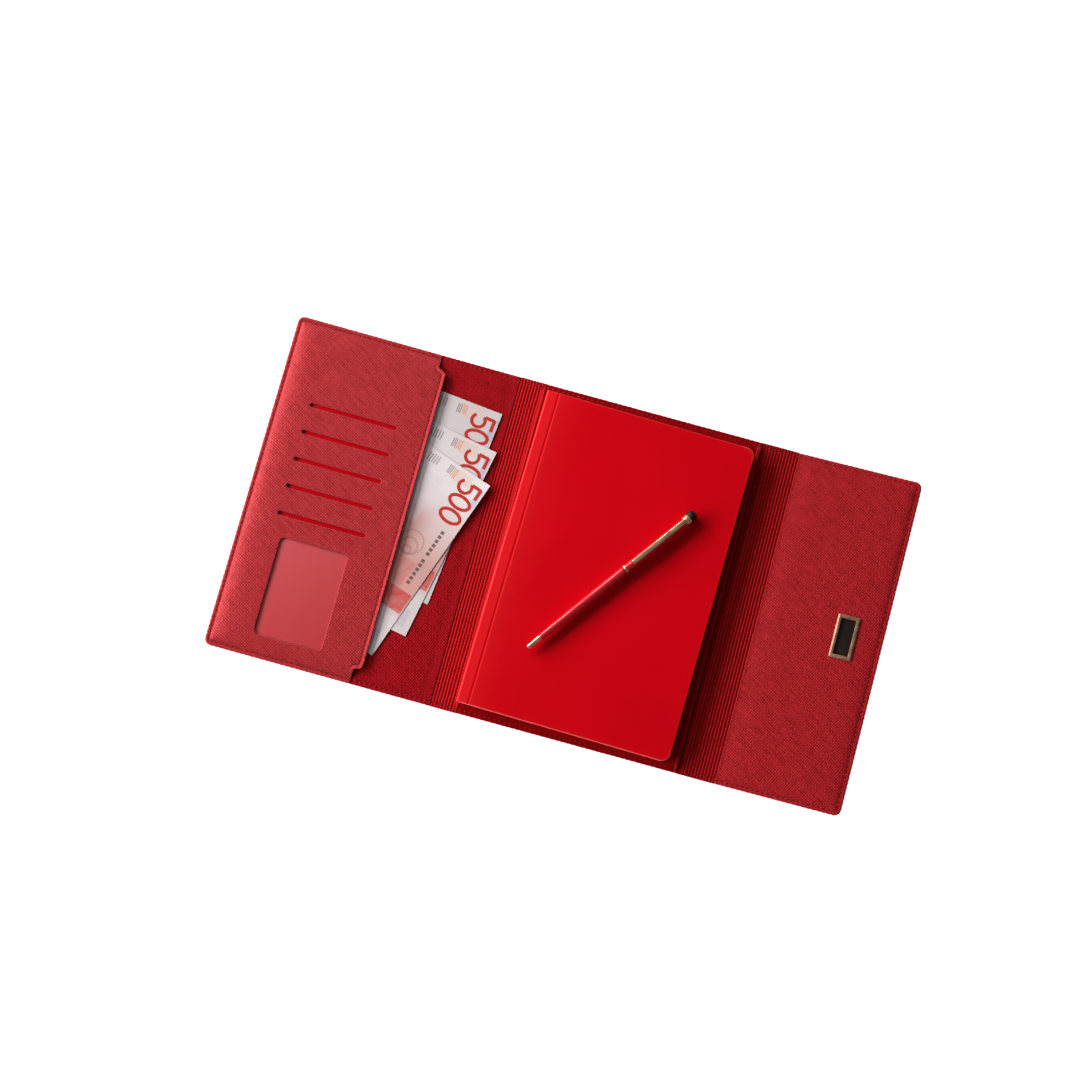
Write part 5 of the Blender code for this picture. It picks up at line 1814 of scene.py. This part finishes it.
def add_floor(half=6.0, z=-0.0002):
    mesh = bpy.data.meshes.new("floor")
    mesh.from_pydata([(-half, -half, z), (half, -half, z), (half, half, z), (-half, half, z)],
                     [], [(0, 1, 2, 3)])
    mesh.materials.append(floor_material())
    floor = bpy.data.objects.new("floor", mesh)
    bpy.context.scene.collection.objects.link(floor)
    floor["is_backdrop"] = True


def axes_matrix(x, y, z, at):
    return Matrix((*((x[k], y[k], z[k], at[k]) for k in range(3)), (0, 0, 0, 1)))


def area_light(name, at, aim, width, height, power):
    """A rectangular light aimed at a point, its width as near along Y as it can be."""
    light = bpy.data.lights.new(name, "AREA")
    light.shape = "RECTANGLE"
    light.size, light.size_y = width, height
    light.energy = power
    ob = bpy.data.objects.new(name, light)
    bpy.context.scene.collection.objects.link(ob)
    z = (Vector(at) - Vector(aim)).normalized()
    x = Vector((0, 1, 0)) - z * z.dot(Vector((0, 1, 0)))
    x.normalize()
    ob.matrix_world = axes_matrix(x, z.cross(x), z, at)


def add_world():
    """A studio wall as pale as the floor to the camera, that lights the wallet only dimly."""
    world = bpy.data.worlds.new("studio")
    world.use_nodes = True
    nodes, links = world.node_tree.nodes, world.node_tree.links
    background = nodes["Background"]
    background.inputs[0].default_value = (1, 1, 1, 1)
    seen = nodes.new("ShaderNodeLightPath")
    level = nodes.new("ShaderNodeMapRange")
    level.inputs["To Min"].default_value = 0.14
    level.inputs["To Max"].default_value = 1.0
    links.new(seen.outputs["Is Camera Ray"], level.inputs[0])
    links.new(level.outputs[0], background.inputs[1])
    bpy.context.scene.world = world


def add_camera(aim, distance, azimuth, tilt, roll, lens):
    """A camera looking down on aim; tilt is from straight down."""
    data = bpy.data.cameras.new("camera")
    data.sensor_width = 36.0
    data.lens = lens
    data.clip_end = 50
    camera = bpy.data.objects.new("camera", data)
    bpy.context.scene.collection.objects.link(camera)
    azimuth, tilt, roll = math.radians(azimuth), math.radians(tilt), math.radians(roll)
    back = Vector((math.sin(tilt) * math.cos(azimuth), math.sin(tilt) * math.sin(azimuth),
                   math.cos(tilt)))
    right = (-back).cross(Vector((math.sin(roll), math.cos(roll), 0))).normalized()
    camera.matrix_world = axes_matrix(right, right.cross(-back), back,
                                      Vector(aim) + back * distance)
    bpy.context.scene.camera = camera


add_floor()
view = bpy.context.scene.view_settings
view.view_transform = "Standard"
view.look = "None"
view.exposure = 0.0
view.gamma = 1.0
add_world()
KEY_ANGLE, KEY_DISTANCE = math.radians(24.5), 1.35
area_light("key", at=(-0.25 - KEY_DISTANCE * math.cos(KEY_ANGLE), 0.02,
                      KEY_DISTANCE * math.sin(KEY_ANGLE)),
           aim=(-0.02, 0.0, 0.0), width=2.2, height=0.40, power=58)
area_light("strip", at=(-0.725, 0.69, 0.69), aim=(-0.01, 0.0, 0.01), width=0.40, height=0.05,
           power=3.8)
add_camera(aim=(-0.05053, 0.01110, 0.0), distance=1.608, azimuth=-86.6, tilt=8.89, roll=-15.17,
           lens=83.2)

# ------------------------------------------------------------------ sizes
VISUAL_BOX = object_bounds()


def plain(box):
    """A box as plain floats, whether it comes as corners or as one flat row."""
    if hasattr(box[0], "__len__"):
        return [[float(value) for value in row] for row in box]
    return [float(value) for value in box]


{"cad": plain(CAD_BOX), "visual": plain(VISUAL_BOX)}
